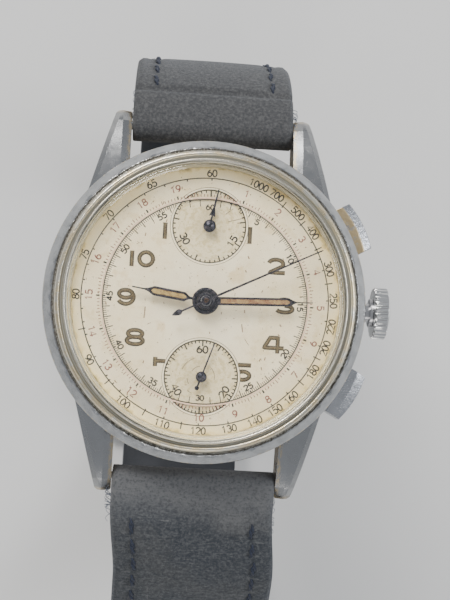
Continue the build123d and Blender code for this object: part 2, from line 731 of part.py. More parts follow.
def main_plate(shape_cuts):
    """Main plate with a raised rim under the dial."""
    body = disc(CENTRE, PLATE_R, PLATE_BOTTOM, PLATE_TOP)
    body += ring(CENTRE, PLATE_R, 14.7, PLATE_TOP, -0.42)
    for at in (CENTRE, COUNTER, FOURTH):
        body -= disc(at, 0.46 if at == CENTRE else 0.3, -4, 0)
    for at, _ in JEWELS:
        body -= disc(at, 0.55, -3.1, -2.62)
        body -= disc(at, 0.3, -3.1, -2.3)
    body -= disc(BARREL, 0.7, -3.1, -2.6)
    body -= disc(MINUTE_WHEEL, 0.22, -1.7, -1)
    for at in ((-12.2, 6.0), (12.2, -6.0)):
        body -= disc(at, 0.38, -2.2, 0)
    for at in (COLUMN, HAMMER_PIVOT):
        body -= disc(at, 0.52, -3.1, -2.8)
    return body - shape_cuts


def barrel_bridge(shape_cuts):
    """Bridge over the barrel, standing on a curved foot."""
    region = [(1.9, -2.2), (16, -3.9), (16, 16), (3.2, 16), (1.6, 7.0)]
    top = plate(region, BRIDGE_BOTTOM, BRIDGE_TOP) & disc(CENTRE, EDGE_R, -6, -4)
    foot = plate(region, BRIDGE_TOP, PLATE_BOTTOM) & ring(CENTRE, EDGE_R, 12.2, -5, -2)
    foot -= disc(BARREL, 6.25, -5, -2)
    body = top + foot
    for at, hole in ((BARREL, 0.7), (CROWN_WHEEL, 0.52), (CLICK, 0.3), (LEVER_PIVOT, 0.3)):
        body -= disc(at, hole, -6, -4.7 if at != BARREL else -4)
    return body - shape_cuts


def train_bridge(shape_cuts):
    """Bridge over the centre, third, fourth and escape wheels."""
    region = [(-3.2, 1.7), (1.5, 1.7), (1.5, -3.0), (5.9, -3.4), (6.6, -7.6), (3.9, -9.0),
              (4.6, -16), (-8.0, -16), (-4.2, -10.8), (-4.6, -9.0), (-3.3, -8.2), (-3.3, -3.0)]
    top = plate(region, BRIDGE_BOTTOM, BRIDGE_TOP) & disc(CENTRE, EDGE_R, -6, -4)
    feet = capsule((2.4, -13.0), (4.0, -12.9), 0.8, BRIDGE_TOP, PLATE_BOTTOM)
    feet += disc((-5.4, -12.4), 0.8, BRIDGE_TOP, PLATE_BOTTOM)
    feet += disc((4.9, -4.6), 0.75, BRIDGE_TOP, PLATE_BOTTOM)
    body = top + feet + disc((-5.4, -12.4), 0.8, BRIDGE_BOTTOM, BRIDGE_TOP)
    body += disc((4.9, -4.6), 0.75, BRIDGE_BOTTOM, BRIDGE_TOP)
    body -= disc(CENTRE, 0.46, -6, -4)
    for at, _ in UPPER_JEWELS:
        body -= disc(at, 0.55, -5.0, -4)
    return body - disc(BALANCE, 4.75, -6, -2) - shape_cuts


def pallet_bridge(shape_cuts):
    """Small bridge over the pallet fork."""
    foot = (-8.1, -11.4)
    body = capsule(PALLET, foot, 0.75, -4.5, -4.2) + disc(foot, 0.75, -4.5, PLATE_BOTTOM)
    return body - disc(PALLET, 0.45, -4.42, -4) - shape_cuts


def balance_cock(shape_cuts):
    """Cock over the balance."""
    foot = (-12.9, -1.6)
    body = capsule(BALANCE, foot, 1.3, -6.45, -5.8) + disc(foot, 1.3, -6.45, PLATE_BOTTOM)
    body -= disc((BALANCE[0] + 2.3, BALANCE[1]), 0.17, -7, -5)
    return body - disc(BALANCE, 0.6, -6.1, -5) - shape_cuts


def chronograph_bridge(shape_cuts):
    """Bridge over the two chronograph runners."""
    feet = ((-5.6, 1.6), (-3.8, 11.0))
    body = capsule(CENTRE, COUNTER, 1.1, -6.75, -6.35)
    body += capsule(feet[0], CENTRE, 0.9, -6.75, -6.35) + capsule(feet[1], COUNTER, 0.9, -6.75, -6.35)
    for at in feet:
        body += disc(at, 0.9, -6.75, PLATE_BOTTOM)
    for at in (CENTRE, COUNTER):
        body -= disc(at, 0.6, -6.62, -6)
    return body - disc(IDLER, 0.26, -6.6, -6) - shape_cuts


# ---------------------------------------------------------------- strap
def walk(start, heading, moves):
    """Follow tangent moves (radius, degrees) or (0, length); returns samples (y, z, heading)."""
    y, z = start
    samples = [(y, z, heading)]
    for radius, amount in moves:
        steps = max(3, int(abs(amount) / 5)) if radius else max(3, int(amount / 2.5))
        for _ in range(steps):
            if radius:
                turn = math.radians(amount / steps)
                chord = 2 * radius * math.sin(abs(turn) / 2)
                y += chord * math.cos(heading + turn / 2)
                z += chord * math.sin(heading + turn / 2)
                heading += turn
            else:
                y += amount / steps * math.cos(heading)
                z += amount / steps * math.sin(heading)
            samples.append((y, z, heading))
    return samples


def lengths(samples):
    """Running length along the samples."""
    run = [0.0]
    for a, b in zip(samples, samples[1:]):
        run.append(run[-1] + math.dist(a[:2], b[:2]))
    return run


def strap_band(samples, tip):
    """Strap of falling thickness along a path, with a round end at the lug."""
    run = lengths(samples)
    left = []
    right = []
    for (y, z, heading), at in zip(samples, run):
        half = (STRAP_T1 + (STRAP_T0 - STRAP_T1) * max(0.0, 1 - at / 30.0) ** 1.5) / 2
        left.append((y - half * math.sin(heading), z + half * math.cos(heading)))
        right.append((y + half * math.sin(heading), z - half * math.cos(heading)))
    first = samples[0]
    last = samples[-1]
    half = STRAP_T0 / 2
    back = (first[0] - half * math.cos(first[2]), first[1] - half * math.sin(first[2]))
    end = (last[0] + tip * math.cos(last[2]), last[1] + tip * math.sin(last[2]))
    outline = Spline(*left) + ThreePointArc(left[-1], end, right[-1])
    outline = outline + Spline(*right[::-1]) + ThreePointArc(right[0], back, left[0])
    band = extrude(Plane.YZ * make_face(outline), 12, both=True)
    return band & strap_width()


def strap_width():
    """Wedge that narrows the strap from the lugs to the buckle."""
    top = -2.0
    low = 6.0 - DIAL_HEIGHT
    wide = STRAP_W0 / 2
    slim = STRAP_W1 / 2
    outline = [(-wide, 4), (wide, 4), (wide, top), (slim, low), (slim, low - 12), (-slim, low - 12),
               (-slim, low), (-wide, top)]
    return extrude(Plane.XZ * make_face(Polyline(*outline, close=True)), 80, both=True)


def bar_bore(y):
    """Tunnel for a spring bar."""
    return Pos(0, y, BAR_Z) * Rot(0, 90, 0) * Cylinder(BAR_R + 0.05, 30)


def short_path():
    """Path of the buckle half, from the 12 o'clock bar to the buckle pin."""
    moves = [(12.0, -76.0), (0, 11.906), (18.0, -90.0), (0, FLAT_Y - BUCKLE_Y)]
    return walk((BAR_Y, BAR_Z), math.radians(-14), moves)


def long_path():
    """Path of the hole half, from the 6 o'clock bar past the buckle to its tip."""
    moves = [(22.0, -85.0), (16.57, -50.0), (39.2, -40.0), (0, FLAT_Y - BUCKLE_Y), (20.2, -40.0)]
    mirrored = walk((BAR_Y, BAR_Z), math.radians(-5), moves)
    return [(-y, z, math.pi - heading) for y, z, heading in mirrored]


def strap_short():
    """Buckle half of the strap with a slot for the tongue."""
    body = strap_band(short_path(), 1.05) - bar_bore(BAR_Y)
    pin = Pos(0, BUCKLE_Y, LAYER_SHORT - DIAL_HEIGHT) * Rot(0, 90, 0) * Cylinder(0.62, 30)
    slot = Pos(0, BUCKLE_Y - 0.6, LAYER_SHORT - DIAL_HEIGHT) * Box(2.2, 4.4, 6)
    return body - pin - slot


def strap_long():
    """Hole half of the strap with its tongue holes and a rounded tip."""
    samples = long_path()
    body = strap_band(samples, 1.05) - bar_bore(-BAR_Y)
    for i in range(HOLES):
        stretch = USED_HOLE_STRETCH if i == HOLE_IN_USE else HOLE_STRETCH
        hole = capsule((0, -stretch), (0, stretch), HOLE_R, -3, 3)
        body -= along(samples, HOLE_AT + HOLE_STEP * (i - HOLE_IN_USE)) * hole
    corners = Pos(0, -1.95, 0) * Box(30, 10, 6) - Pos(0, -6.95, 0) * Cylinder(8.0, 8)
    return body - along(samples, lengths(samples)[-1]) * corners


def along(samples, distance):
    """Plane on the strap at a distance from the lug: local Y runs along it, local Z out of it."""
    run = lengths(samples)
    i = max(k for k in range(len(run) - 1) if run[k] <= distance + 1e-9)
    share = (distance - run[i]) / (run[i + 1] - run[i])
    y, z, heading = [a + (b - a) * share for a, b in zip(samples[i], samples[i + 1])]
    normal = (0, -math.sin(heading), math.cos(heading))
    return Plane(origin=(0, y, z), x_dir=(1, 0, 0), z_dir=normal)


def keeper(y0, y1):
    """Leather loop round both strap layers."""
    low = -DIAL_HEIGHT
    outer = Pos(0, (y0 + y1) / 2, low + 3.2) * Box(STRAP_W1 + 2.3, y1 - y0, 6.4)
    outer = fillet(outer.edges().filter_by(Axis.Y), 0.9)
    inner = Pos(0, (y0 + y1) / 2, low + 3.19) * Box(STRAP_W1 + 0.3, y1 - y0 + 2, 4.5)
    return outer - inner


def spring_bar(y):
    """Telescopic bar between a pair of lugs."""
    turn = Rot(0, 90, 0)
    body = turn * (Cylinder(BAR_R, 17.2) + Cylinder(0.58, 18.4) + Cylinder(0.4, 19.9))
    return Pos(0, y, BAR_Z) * body


# ---------------------------------------------------------------- buckle
BUCKLE_X = 9.6
FRONT_Y = BUCKLE_Y - 7.2


def buckle_frame():
    """Polished frame: two cheeks and a notched front bar."""
    level = -DIAL_HEIGHT
    cheek = capsule((BUCKLE_Y, 4.25), (FRONT_Y, 0.95), 0.85, -0.6, 0.6)
    side = Plane.YZ * cheek
    body = Pos(BUCKLE_X - 0.2, 0, 0) * side + Pos(0.2 - BUCKLE_X, 0, 0) * side
    bar = Pos(0, FRONT_Y, 0.85) * Box(2 * BUCKLE_X - 0.6, 2.0, 1.3)
    bar = fillet(bar.edges().filter_by(Axis.X), 0.4)
    body += bar
    body -= Pos(0, FRONT_Y, 0.4) * Box(2.2, 4, 1.35)
    body -= Pos(0, BUCKLE_Y, 4.25) * Rot(0, 90, 0) * Cylinder(0.42, 30)
    return Pos(0, 0, level) * body


def buckle_pin():
    """Pin that joins the short strap, the frame and the tongue."""
    pin = Rot(0, 90, 0) * (Cylinder(0.55, 17.2) + Cylinder(0.4, 19.8))
    return Pos(0, BUCKLE_Y, 4.25 - DIAL_HEIGHT) * pin


def buckle_tongue():
    """Tongue: loops round the pin, dips through a hole and rests in the notch."""
    ys = BUCKLE_Y
    path = [(ys, 4.85), (ys - 1.6, 4.75), (ys - 2.7, 3.7), (ys - 3.3, 1.6), (ys - 4.4, 0.85),
            (FRONT_Y - 0.9, 0.85), (FRONT_Y - 0.9, 0.25), (ys - 3.9, 0.25), (ys - 2.7, 0.7),
            (ys - 2.0, 3.0), (ys - 1.2, 3.65), (ys, 3.65)]
    arm = extrude(Plane.YZ * make_face(Polyline(*path, close=True)), 0.6, both=True)
    eye = Pos(0, ys, 4.25) * Rot(0, 90, 0) * Cylinder(0.98, 1.2)
    body = arm + eye - Pos(0, ys, 4.25) * Rot(0, 90, 0) * Cylinder(0.58, 4)
    return Pos(0, 0, -DIAL_HEIGHT) * body


# ---------------------------------------------------------------- write the pieces
def main():
    os.makedirs("parts", exist_ok=True)
    holes = screw_holes()
    channel = stem_channel()
    notches = tab_notches()
    pieces = {
        "mid_case": mid_case(),
        "bezel": bezel(),
        "crystal": crystal(),
        "case_back": case_back(),
        "dial": dial(),
        "crown_tube": crown_tube(),
        "pusher_tubes": pusher_tubes(),
        "crown": crown(),
        "winding_stem": winding_stem(),
        "winding_pinion": winding_pinion(),
        "sliding_pinion": sliding_pinion(),
        "start_pusher": pusher(1),
        "reset_pusher": pusher(-1),
        "hour_hand": hour_hand(),
        "hour_hand_lume": hour_lume(),
        "minute_hand": minute_hand(),
        "minute_hand_lume": minute_lume(),
        "chrono_seconds_hand": chrono_seconds_hand(),
        "minute_counter_hand": minute_counter_hand(),
        "small_seconds_hand": small_seconds_hand(),
        "hour_wheel": hour_wheel(),
        "cannon_pinion": cannon_pinion(),
        "minute_wheel": minute_wheel(),
        "centre_wheel": centre_wheel(),
        "third_wheel": third_wheel(),
        "fourth_wheel": fourth_wheel(),
        "escape_wheel": escape_wheel(),
        "pallet_fork": pallet_fork(),
        "balance": balance(),
        "hairspring": hairspring(),
        "barrel": barrel(),
        "mainspring": mainspring(),
        "ratchet_wheel": ratchet_wheel(),
        "crown_wheel": crown_wheel(),
        "click": click(),
        "chrono_runner": chrono_runner(),
        "minute_runner": minute_runner(),
        "minute_idler": minute_idler(),
        "column_wheel": column_wheel(),
        "operating_lever": operating_lever(),
        "reset_hammer": reset_hammer(),
        "main_plate": main_plate(holes + channel + notches),
        "barrel_bridge": barrel_bridge(holes + channel),
        "train_bridge": train_bridge(holes),
        "pallet_bridge": pallet_bridge(holes),
        "balance_cock": balance_cock(holes),
        "chronograph_bridge": chronograph_bridge(holes),
        "jewels": jewels(),
        "movement_screws": movement_screws(),
        "strap_short": strap_short(),
        "strap_long": strap_long(),
        "fixed_keeper": keeper(-3.9, 0.6),
        "free_keeper": keeper(4.0, 8.5),
        "spring_bar_top": spring_bar(BAR_Y),
        "spring_bar_bottom": spring_bar(-BAR_Y),
        "buckle_frame": buckle_frame(),
        "buckle_pin": buckle_pin(),
        "buckle_tongue": buckle_tongue(),
    }
    for name, shape in pieces.items():
        save(name, shape)


main()
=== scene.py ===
"""Looks of the chronograph wrist watch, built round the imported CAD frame.

Lengths are millimetres measured from the dial face on the dial axis, as in the CAD source,
and turned into the row frame's metres when a mesh is made.
"""

import math
import random

import bmesh
import bpy
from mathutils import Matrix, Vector


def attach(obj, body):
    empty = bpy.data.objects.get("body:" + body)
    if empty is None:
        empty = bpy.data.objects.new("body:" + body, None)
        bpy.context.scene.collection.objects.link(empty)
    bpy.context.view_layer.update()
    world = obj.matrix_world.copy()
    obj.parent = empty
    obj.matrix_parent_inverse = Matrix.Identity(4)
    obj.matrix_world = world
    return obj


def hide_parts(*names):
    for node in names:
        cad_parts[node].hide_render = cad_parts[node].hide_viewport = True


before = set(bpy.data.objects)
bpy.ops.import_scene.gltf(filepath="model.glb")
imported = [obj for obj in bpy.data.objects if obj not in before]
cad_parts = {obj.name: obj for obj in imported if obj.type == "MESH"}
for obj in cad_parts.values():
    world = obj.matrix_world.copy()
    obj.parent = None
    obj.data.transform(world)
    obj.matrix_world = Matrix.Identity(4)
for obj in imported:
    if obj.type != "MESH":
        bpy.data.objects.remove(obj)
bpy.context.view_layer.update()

MM = 0.001
DIAL_HEIGHT = 50.7        # dial face above the plane the watch stands on
SUB_Y = 8.4
SUB_R = 4.3
SUB_FLOOR = -0.12
BAR_Y = 20.0
BAR_Z = -4.9
HOUR_AT = 278.0           # hands at rest, degrees from 12
MINUTE_AT = 87.8
LEFT = -1
RIGHT = 1
DICE = random.Random(11)


# ------------------------------------------------------------------ small helpers
def clock(radius, degrees):
    """Point at a radius, degrees clockwise from 12."""
    a = math.radians(degrees)
    return radius * math.sin(a), radius * math.cos(a)


def place(point):
    """Dial millimetres to row metres."""
    return Vector((point[0] * MM, point[1] * MM, (point[2] + DIAL_HEIGHT) * MM))


def new_object(name, data):
    """Object in the scene for a mesh, a curve, a light or a camera."""
    obj = bpy.data.objects.new(name, data)
    bpy.context.scene.collection.objects.link(obj)
    return obj


def mesh_object(name, points, faces, body, material):
    """Mesh from dial millimetres, riding on a body."""
    mesh = bpy.data.meshes.new(name)
    mesh.from_pydata([place(p) for p in points], [], faces)
    mesh.update()
    mesh.shade_smooth()
    obj = new_object(name, mesh)
    obj.data.materials.append(material)
    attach(obj, body)
    return obj


def fix_normals(obj):
    """Point every face of a closed mesh outwards."""
    bm = bmesh.new()
    bm.from_mesh(obj.data)
    bmesh.ops.recalc_face_normals(bm, faces=bm.faces)
    bm.to_mesh(obj.data)
    bm.free()


def add_bevel(obj, width, segments, angle):
    """Round the sharp edges of a piece."""
    bevel = obj.modifiers.new("edges", "BEVEL")
    bevel.width = width * MM
    bevel.segments = segments
    bevel.limit_method = "ANGLE"
    bevel.angle_limit = math.radians(angle)


def lathe(name, outline, body, material, axis=(0.0, 0.0), steps=192, closed=True, chips=()):
    """Turned piece about an upright axis. chips holds (radius, amount) of worn, ragged edges."""
    points = []
    faces = []
    count = len(outline)
    for i in range(steps):
        a = 2 * math.pi * i / steps
        for r, z in outline:
            out, down = chipped(r, chips)
            x = axis[0] + (r + out) * math.cos(a)
            y = axis[1] + (r + out) * math.sin(a)
            points.append((x, y, z - down))
    last = count if closed else count - 1
    for i in range(steps):
        j = (i + 1) % steps
        for k in range(last):
            n = (k + 1) % count
            faces.append((i * count + k, j * count + k, j * count + n, i * count + n))
    obj = mesh_object(name, points, faces, body, material)
    tidy_mesh(obj)
    return obj


def chipped(r, chips):
    """Random loss at a ragged edge: how far out and how far down."""
    for radius, amount in chips:
        if abs(r - radius) < 1e-6:
            loss = amount * DICE.random() ** 2
            return DICE.uniform(-0.6, 1.0) * loss, 0.8 * loss
    return 0.0, 0.0


def tidy_mesh(obj):
    """Merge points that coincide, drop slivers and face outwards."""
    bm = bmesh.new()
    bm.from_mesh(obj.data)
    bmesh.ops.remove_doubles(bm, verts=bm.verts, dist=1e-7)
    bmesh.ops.dissolve_degenerate(bm, edges=bm.edges, dist=1e-8)
    bmesh.ops.recalc_face_normals(bm, faces=bm.faces)
    bm.to_mesh(obj.data)
    bm.free()


def softened(node, body, material, width, segments=2, angle=20):
    """Copy of a CAD node with rounded edges and crisp facets, shown in its place."""
    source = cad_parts[node]
    mesh = source.data.copy()
    mesh.materials.clear()
    mesh.materials.append(material)
    obj = new_object(node + "_finished", mesh)
    bm = bmesh.new()
    bm.from_mesh(mesh)
    bmesh.ops.remove_doubles(bm, verts=bm.verts, dist=2e-7)
    bmesh.ops.dissolve_limit(bm, angle_limit=math.radians(1.5), verts=bm.verts, edges=bm.edges)
    bm.to_mesh(mesh)
    bm.free()
    mesh.shade_smooth()
    add_bevel(obj, width, segments, angle)
    weighted = obj.modifiers.new("normals", "WEIGHTED_NORMAL")
    weighted.mode = "FACE_AREA"
    weighted.weight = 90
    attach(obj, body)
    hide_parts(node)
    return obj


# ------------------------------------------------------------------ material kit
class Shader:
    """Short way to write a node material. Positions are in millimetres of the row frame."""

    def __init__(self, name):
        self.material = bpy.data.materials.new(name)
        self.material.use_nodes = True
        self.tree = self.material.node_tree
        self.bsdf = next(n for n in self.tree.nodes if n.type == "BSDF_PRINCIPLED")
        self.output = next(n for n in self.tree.nodes if n.type == "OUTPUT_MATERIAL")
        coords = self.add("ShaderNodeTexCoord")
        mapping = self.add("ShaderNodeMapping")
        mapping.inputs["Scale"].default_value = (1000, 1000, 1000)
        self.link(coords.outputs["Object"], mapping.inputs["Vector"])
        self.position = mapping.outputs["Vector"]

    def add(self, kind):
        return self.tree.nodes.new(kind)

    def link(self, a, b):
        self.tree.links.new(a, b)

    def put(self, value, socket):
        """Set a socket from another node, a colour or a number."""
        if isinstance(value, bpy.types.NodeSocket):
            self.link(value, socket)
        elif isinstance(value, (tuple, list)) and socket.type == "RGBA" and len(value) == 3:
            socket.default_value = (*value, 1)
        else:
            socket.default_value = value

    def set(self, name, value):
        self.put(value, self.bsdf.inputs[name])

    def math(self, kind, a, b=0.0, clamp=False):
        node = self.add("ShaderNodeMath")
        node.operation = kind
        node.use_clamp = clamp
        self.put(a, node.inputs[0])
        self.put(b, node.inputs[1])
        return node.outputs[0]

    def times(self, a, b):
        return self.math("MULTIPLY", a, b)

    def plus(self, a, b, clamp=False):
        return self.math("ADD", a, b, clamp)

    def layers(self, base, rows):
        """Lay colours over a base. A row is (value, low, high, greatest share, colour)."""
        for value, low, high, share, colour in rows:
            base = self.mix(self.ramp(value, low, high, 0.0, share), base, colour)
        return base

    def stretch(self, scale, turn=(0, 0, 0)):
        """Position with each axis scaled, for grain that runs one way."""
        node = self.add("ShaderNodeMapping")
        node.inputs["Scale"].default_value = scale
        node.inputs["Rotation"].default_value = turn
        self.link(self.position, node.inputs["Vector"])
        return node.outputs["Vector"]

    def noise(self, scale, detail=4.0, rough=0.55, vector=None, warp=0.0):
        node = self.add("ShaderNodeTexNoise")
        node.inputs["Scale"].default_value = scale
        node.inputs["Detail"].default_value = detail
        node.inputs["Roughness"].default_value = rough
        node.inputs["Distortion"].default_value = warp
        self.put(vector or self.position, node.inputs["Vector"])
        return node.outputs[0]

    def cells(self, scale, feature="F1"):
        node = self.add("ShaderNodeTexVoronoi")
        node.feature = feature
        node.inputs["Scale"].default_value = scale
        self.link(self.position, node.inputs["Vector"])
        return node.outputs["Distance"]

    def ramp(self, value, low, high, out_low=0.0, out_high=1.0):
        node = self.add("ShaderNodeMapRange")
        node.interpolation_type = "SMOOTHSTEP"
        self.put(value, node.inputs["Value"])
        node.inputs["From Min"].default_value = low
        node.inputs["From Max"].default_value = high
        node.inputs["To Min"].default_value = out_low
        node.inputs["To Max"].default_value = out_high
        return node.outputs["Result"]

    def mix(self, share, a, b):
        node = self.add("ShaderNodeMix")
        node.data_type = "RGBA"
        self.put(share, node.inputs["Factor"])
        self.put(a, node.inputs[6])
        self.put(b, node.inputs[7])
        return node.outputs[2]

    def split(self):
        node = self.add("ShaderNodeSeparateXYZ")
        self.link(self.position, node.inputs[0])
        return node.outputs

    def radius(self, x=0.0, y=0.0):
        """Distance from an upright axis, in millimetres."""
        out = self.split()
        dx = self.math("SUBTRACT", out[0], x)
        dy = self.math("SUBTRACT", out[1], y)
        squares = self.plus(self.times(dx, dx), self.times(dy, dy))
        return self.math("SQRT", squares)

    def angle(self, x=0.0, y=0.0):
        out = self.split()
        return self.math("ARCTAN2", self.math("SUBTRACT", out[1], y), self.math("SUBTRACT", out[0], x))

    def polar(self, x=0.0, y=0.0, around=1.0, out=1.0):
        """Vector of (angle, radius, height), for marks that run round the axis."""
        node = self.add("ShaderNodeCombineXYZ")
        self.link(self.times(self.angle(x, y), around), node.inputs[0])
        self.link(self.times(self.radius(x, y), out), node.inputs[1])
        self.link(self.split()[2], node.inputs[2])
        return node.outputs[0]

    def surface(self, colour, rough, normal, metal=0.0):
        """Set the sockets every solid has and hand back the material."""
        self.set("Base Color", colour)
        self.set("Metallic", metal)
        self.set("Roughness", rough)
        self.set("Normal", normal)
        return self.material

    def bump(self, height, strength, distance, after=None):
        node = self.add("ShaderNodeBump")
        node.inputs["Strength"].default_value = strength
        node.inputs["Distance"].default_value = distance * MM
        self.put(height, node.inputs["Height"])
        if after is not None:
            self.link(after, node.inputs["Normal"])
        return node.outputs["Normal"]


# ------------------------------------------------------------------ materials
def worn_plating(name, tint=(0.44, 0.445, 0.45), wear=None, pits=0.5, polish=0.16, mottle=0.0):
    """Polished plating with hairlines and pits, rubbed through to brass where wear is high."""
    s = Shader(name)
    cloud = s.noise(0.9, 5)
    fine = s.noise(9.0, 4)
    lines = s.noise(1.0, 3, vector=s.stretch((0.6, 14, 6), (0.3, 0.2, 0.7)))
    cross = s.noise(1.0, 3, vector=s.stretch((12, 0.7, 5), (0.1, 0.4, 0.35)))
    hair = s.plus(s.ramp(lines, 0.66, 0.72), s.ramp(cross, 0.68, 0.74), clamp=True)
    pit = s.ramp(s.cells(4.5), 0.16, 0.05)
    pit = s.times(pit, s.ramp(cloud, 0.5, 0.66))
    base = s.mix(s.ramp(cloud, 0.35, 0.7), tint, tuple(c * 0.9 for c in tint))
    base = s.mix(s.times(pit, pits), base, (0.12, 0.11, 0.10))
    rough = s.plus(s.ramp(cloud, 0.3, 0.75, polish, polish + 0.10), s.times(hair, 0.12))
    if wear is not None:
        rub = wear(s)
        brass = s.mix(s.noise(3.0), (0.50, 0.36, 0.16), (0.68, 0.52, 0.27))
        base = s.mix(rub, base, brass)
        rough = s.plus(rough, s.times(rub, 0.12))
    s.set("Base Color", base)
    s.set("Metallic", 1.0)
    s.set("Roughness", rough)
    relief = s.bump(s.times(pit, -1.0), 0.7 * pits, 0.05)
    relief = s.bump(fine, 0.03, 0.01, relief)
    if mottle:
        relief = s.bump(s.noise(2.2, 5, 0.7), mottle, 0.12, relief)
    s.set("Normal", s.bump(s.times(hair, -1.0), 0.10, 0.006, relief))
    return s.material


def bezel_wear(s):
    """Wear of the bezel: the groove and the two ridges have lost their plating in patches."""
    r = s.radius()
    patch = s.noise(1.0, 5, vector=s.polar(around=14.0, out=1.2))
    fleck = s.noise(1.0, 4, vector=s.polar(around=60.0, out=5.0))
    ridge = s.times(s.ramp(r, 16.1, 16.3), s.ramp(r, 16.85, 16.55))
    inner = s.times(s.ramp(r, 15.5, 15.6), s.ramp(r, 15.9, 15.78))
    ridge = s.times(ridge, s.ramp(patch, 0.38, 0.58))
    inner = s.times(inner, s.ramp(patch, 0.55, 0.75, 0.1, 0.6))
    rim = s.times(s.ramp(r, 17.95, 18.05), s.ramp(fleck, 0.48, 0.62, 0.0, 0.7))
    total = s.plus(s.plus(ridge, inner), rim, clamp=True)
    return s.times(total, 0.85)


def bezel_metal():
    """Bezel: grey polished cone, dark pitted groove and rubbed ridges."""
    s = Shader("bezel_plating")
    r = s.radius()
    cloud = s.noise(0.8, 5)
    fine = s.noise(8.0, 4)
    round_marks = s.noise(1.0, 4, vector=s.polar(around=8.0, out=22.0))
    groove = s.times(s.ramp(r, 16.70, 16.78), s.ramp(r, 17.16, 17.10))
    crumbs = s.noise(1.0, 3, 0.7, vector=s.polar(around=95.0, out=5.0))
    dirt = s.times(groove, s.ramp(crumbs, 0.40, 0.56))
    second = s.times(s.ramp(r, 15.86, 15.93), s.ramp(r, 16.22, 16.10))
    dirt = s.plus(dirt, s.times(second, 0.4), clamp=True)
    base = s.mix(s.ramp(cloud, 0.35, 0.7), (0.43, 0.44, 0.45), (0.33, 0.338, 0.345))
    rings = s.ramp(r, 17.0, 16.85)
    seat = s.ramp(r, 15.42, 15.35)
    base = s.mix(rings, base, (0.68, 0.655, 0.57))
    base = s.mix(bezel_wear(s), base, s.mix(fine, (0.62, 0.48, 0.26), (0.86, 0.73, 0.48)))
    base = s.mix(s.times(dirt, 0.88), base, (0.075, 0.063, 0.045))
    base = s.mix(seat, base, (0.50, 0.45, 0.31))
    s.set("Base Color", base)
    s.set("Metallic", s.math("SUBTRACT", 1.0, s.math("MAXIMUM", s.times(dirt, 0.6), seat)))
    rough = s.plus(s.ramp(round_marks, 0.4, 0.7, 0.13, 0.24), s.times(dirt, 0.3))
    rough = s.plus(rough, s.times(rings, 0.12))
    s.set("Roughness", rough)
    relief = s.bump(crumbs, 0.5, 0.05)
    marks = s.noise(1.0, 3, vector=s.stretch((0.5, 16, 6), (0, 0, 0.8)))
    relief = s.bump(s.ramp(marks, 0.62, 0.68), 0.2, 0.008, relief)
    s.set("Normal", relief)
    return s.material


def lug_wear(s):
    """Brass shows on the lug tips and along the inner bevels."""
    out = s.split()
    along = s.math("ABSOLUTE", out[1])
    across = s.math("ABSOLUTE", out[0])
    patch = s.noise(1.3, 5)
    streak = s.noise(1.0, 4, vector=s.stretch((5, 0.9, 3)))
    tip = s.times(s.ramp(along, 21.2, 21.9), s.ramp(patch, 0.35, 0.55))
    bevel = s.times(s.ramp(across, 9.85, 9.5), s.ramp(streak, 0.40, 0.56))
    bevel = s.times(bevel, s.ramp(along, 12.0, 14.0))
    total = s.plus(tip, s.times(bevel, 0.7), clamp=True)
    return s.times(total, 0.8)


def pusher_wear(s):
    """The start pusher's cap is rubbed to brass."""
    out = s.split()
    patch = s.noise(1.1, 4)
    upper = s.ramp(out[1], 4.0, 6.0)
    high = s.ramp(out[2], 48.12, 48.18)
    return s.times(s.times(upper, high), s.ramp(patch, 0.30, 0.48, 0.2, 0.85))


def acrylic():
    """Clear domed acrylic with fine scratches."""
    s = Shader("acrylic_crystal")
    a = s.noise(1.0, 3, vector=s.stretch((0.35, 20, 3), (0, 0, 0.5)))
    b = s.noise(1.0, 3, vector=s.stretch((18, 0.4, 3), (0, 0, 0.2)))
    hair = s.plus(s.ramp(a, 0.66, 0.70), s.ramp(b, 0.67, 0.71), clamp=True)
    s.set("Base Color", (0.985, 0.975, 0.94))
    s.set("Transmission Weight", 1.0)
    s.set("IOR", 1.49)
    s.set("Roughness", s.times(hair, 0.08))
    s.set("Normal", s.bump(hair, 0.05, 0.004))
    clear = s.add("ShaderNodeBsdfTransparent")
    path = s.add("ShaderNodeLightPath")
    blend = s.add("ShaderNodeMixShader")
    s.link(path.outputs["Is Shadow Ray"], blend.inputs[0])
    s.link(s.bsdf.outputs[0], blend.inputs[1])
    s.link(clear.outputs[0], blend.inputs[2])
    s.link(blend.outputs[0], s.output.inputs["Surface"])
    return s.material


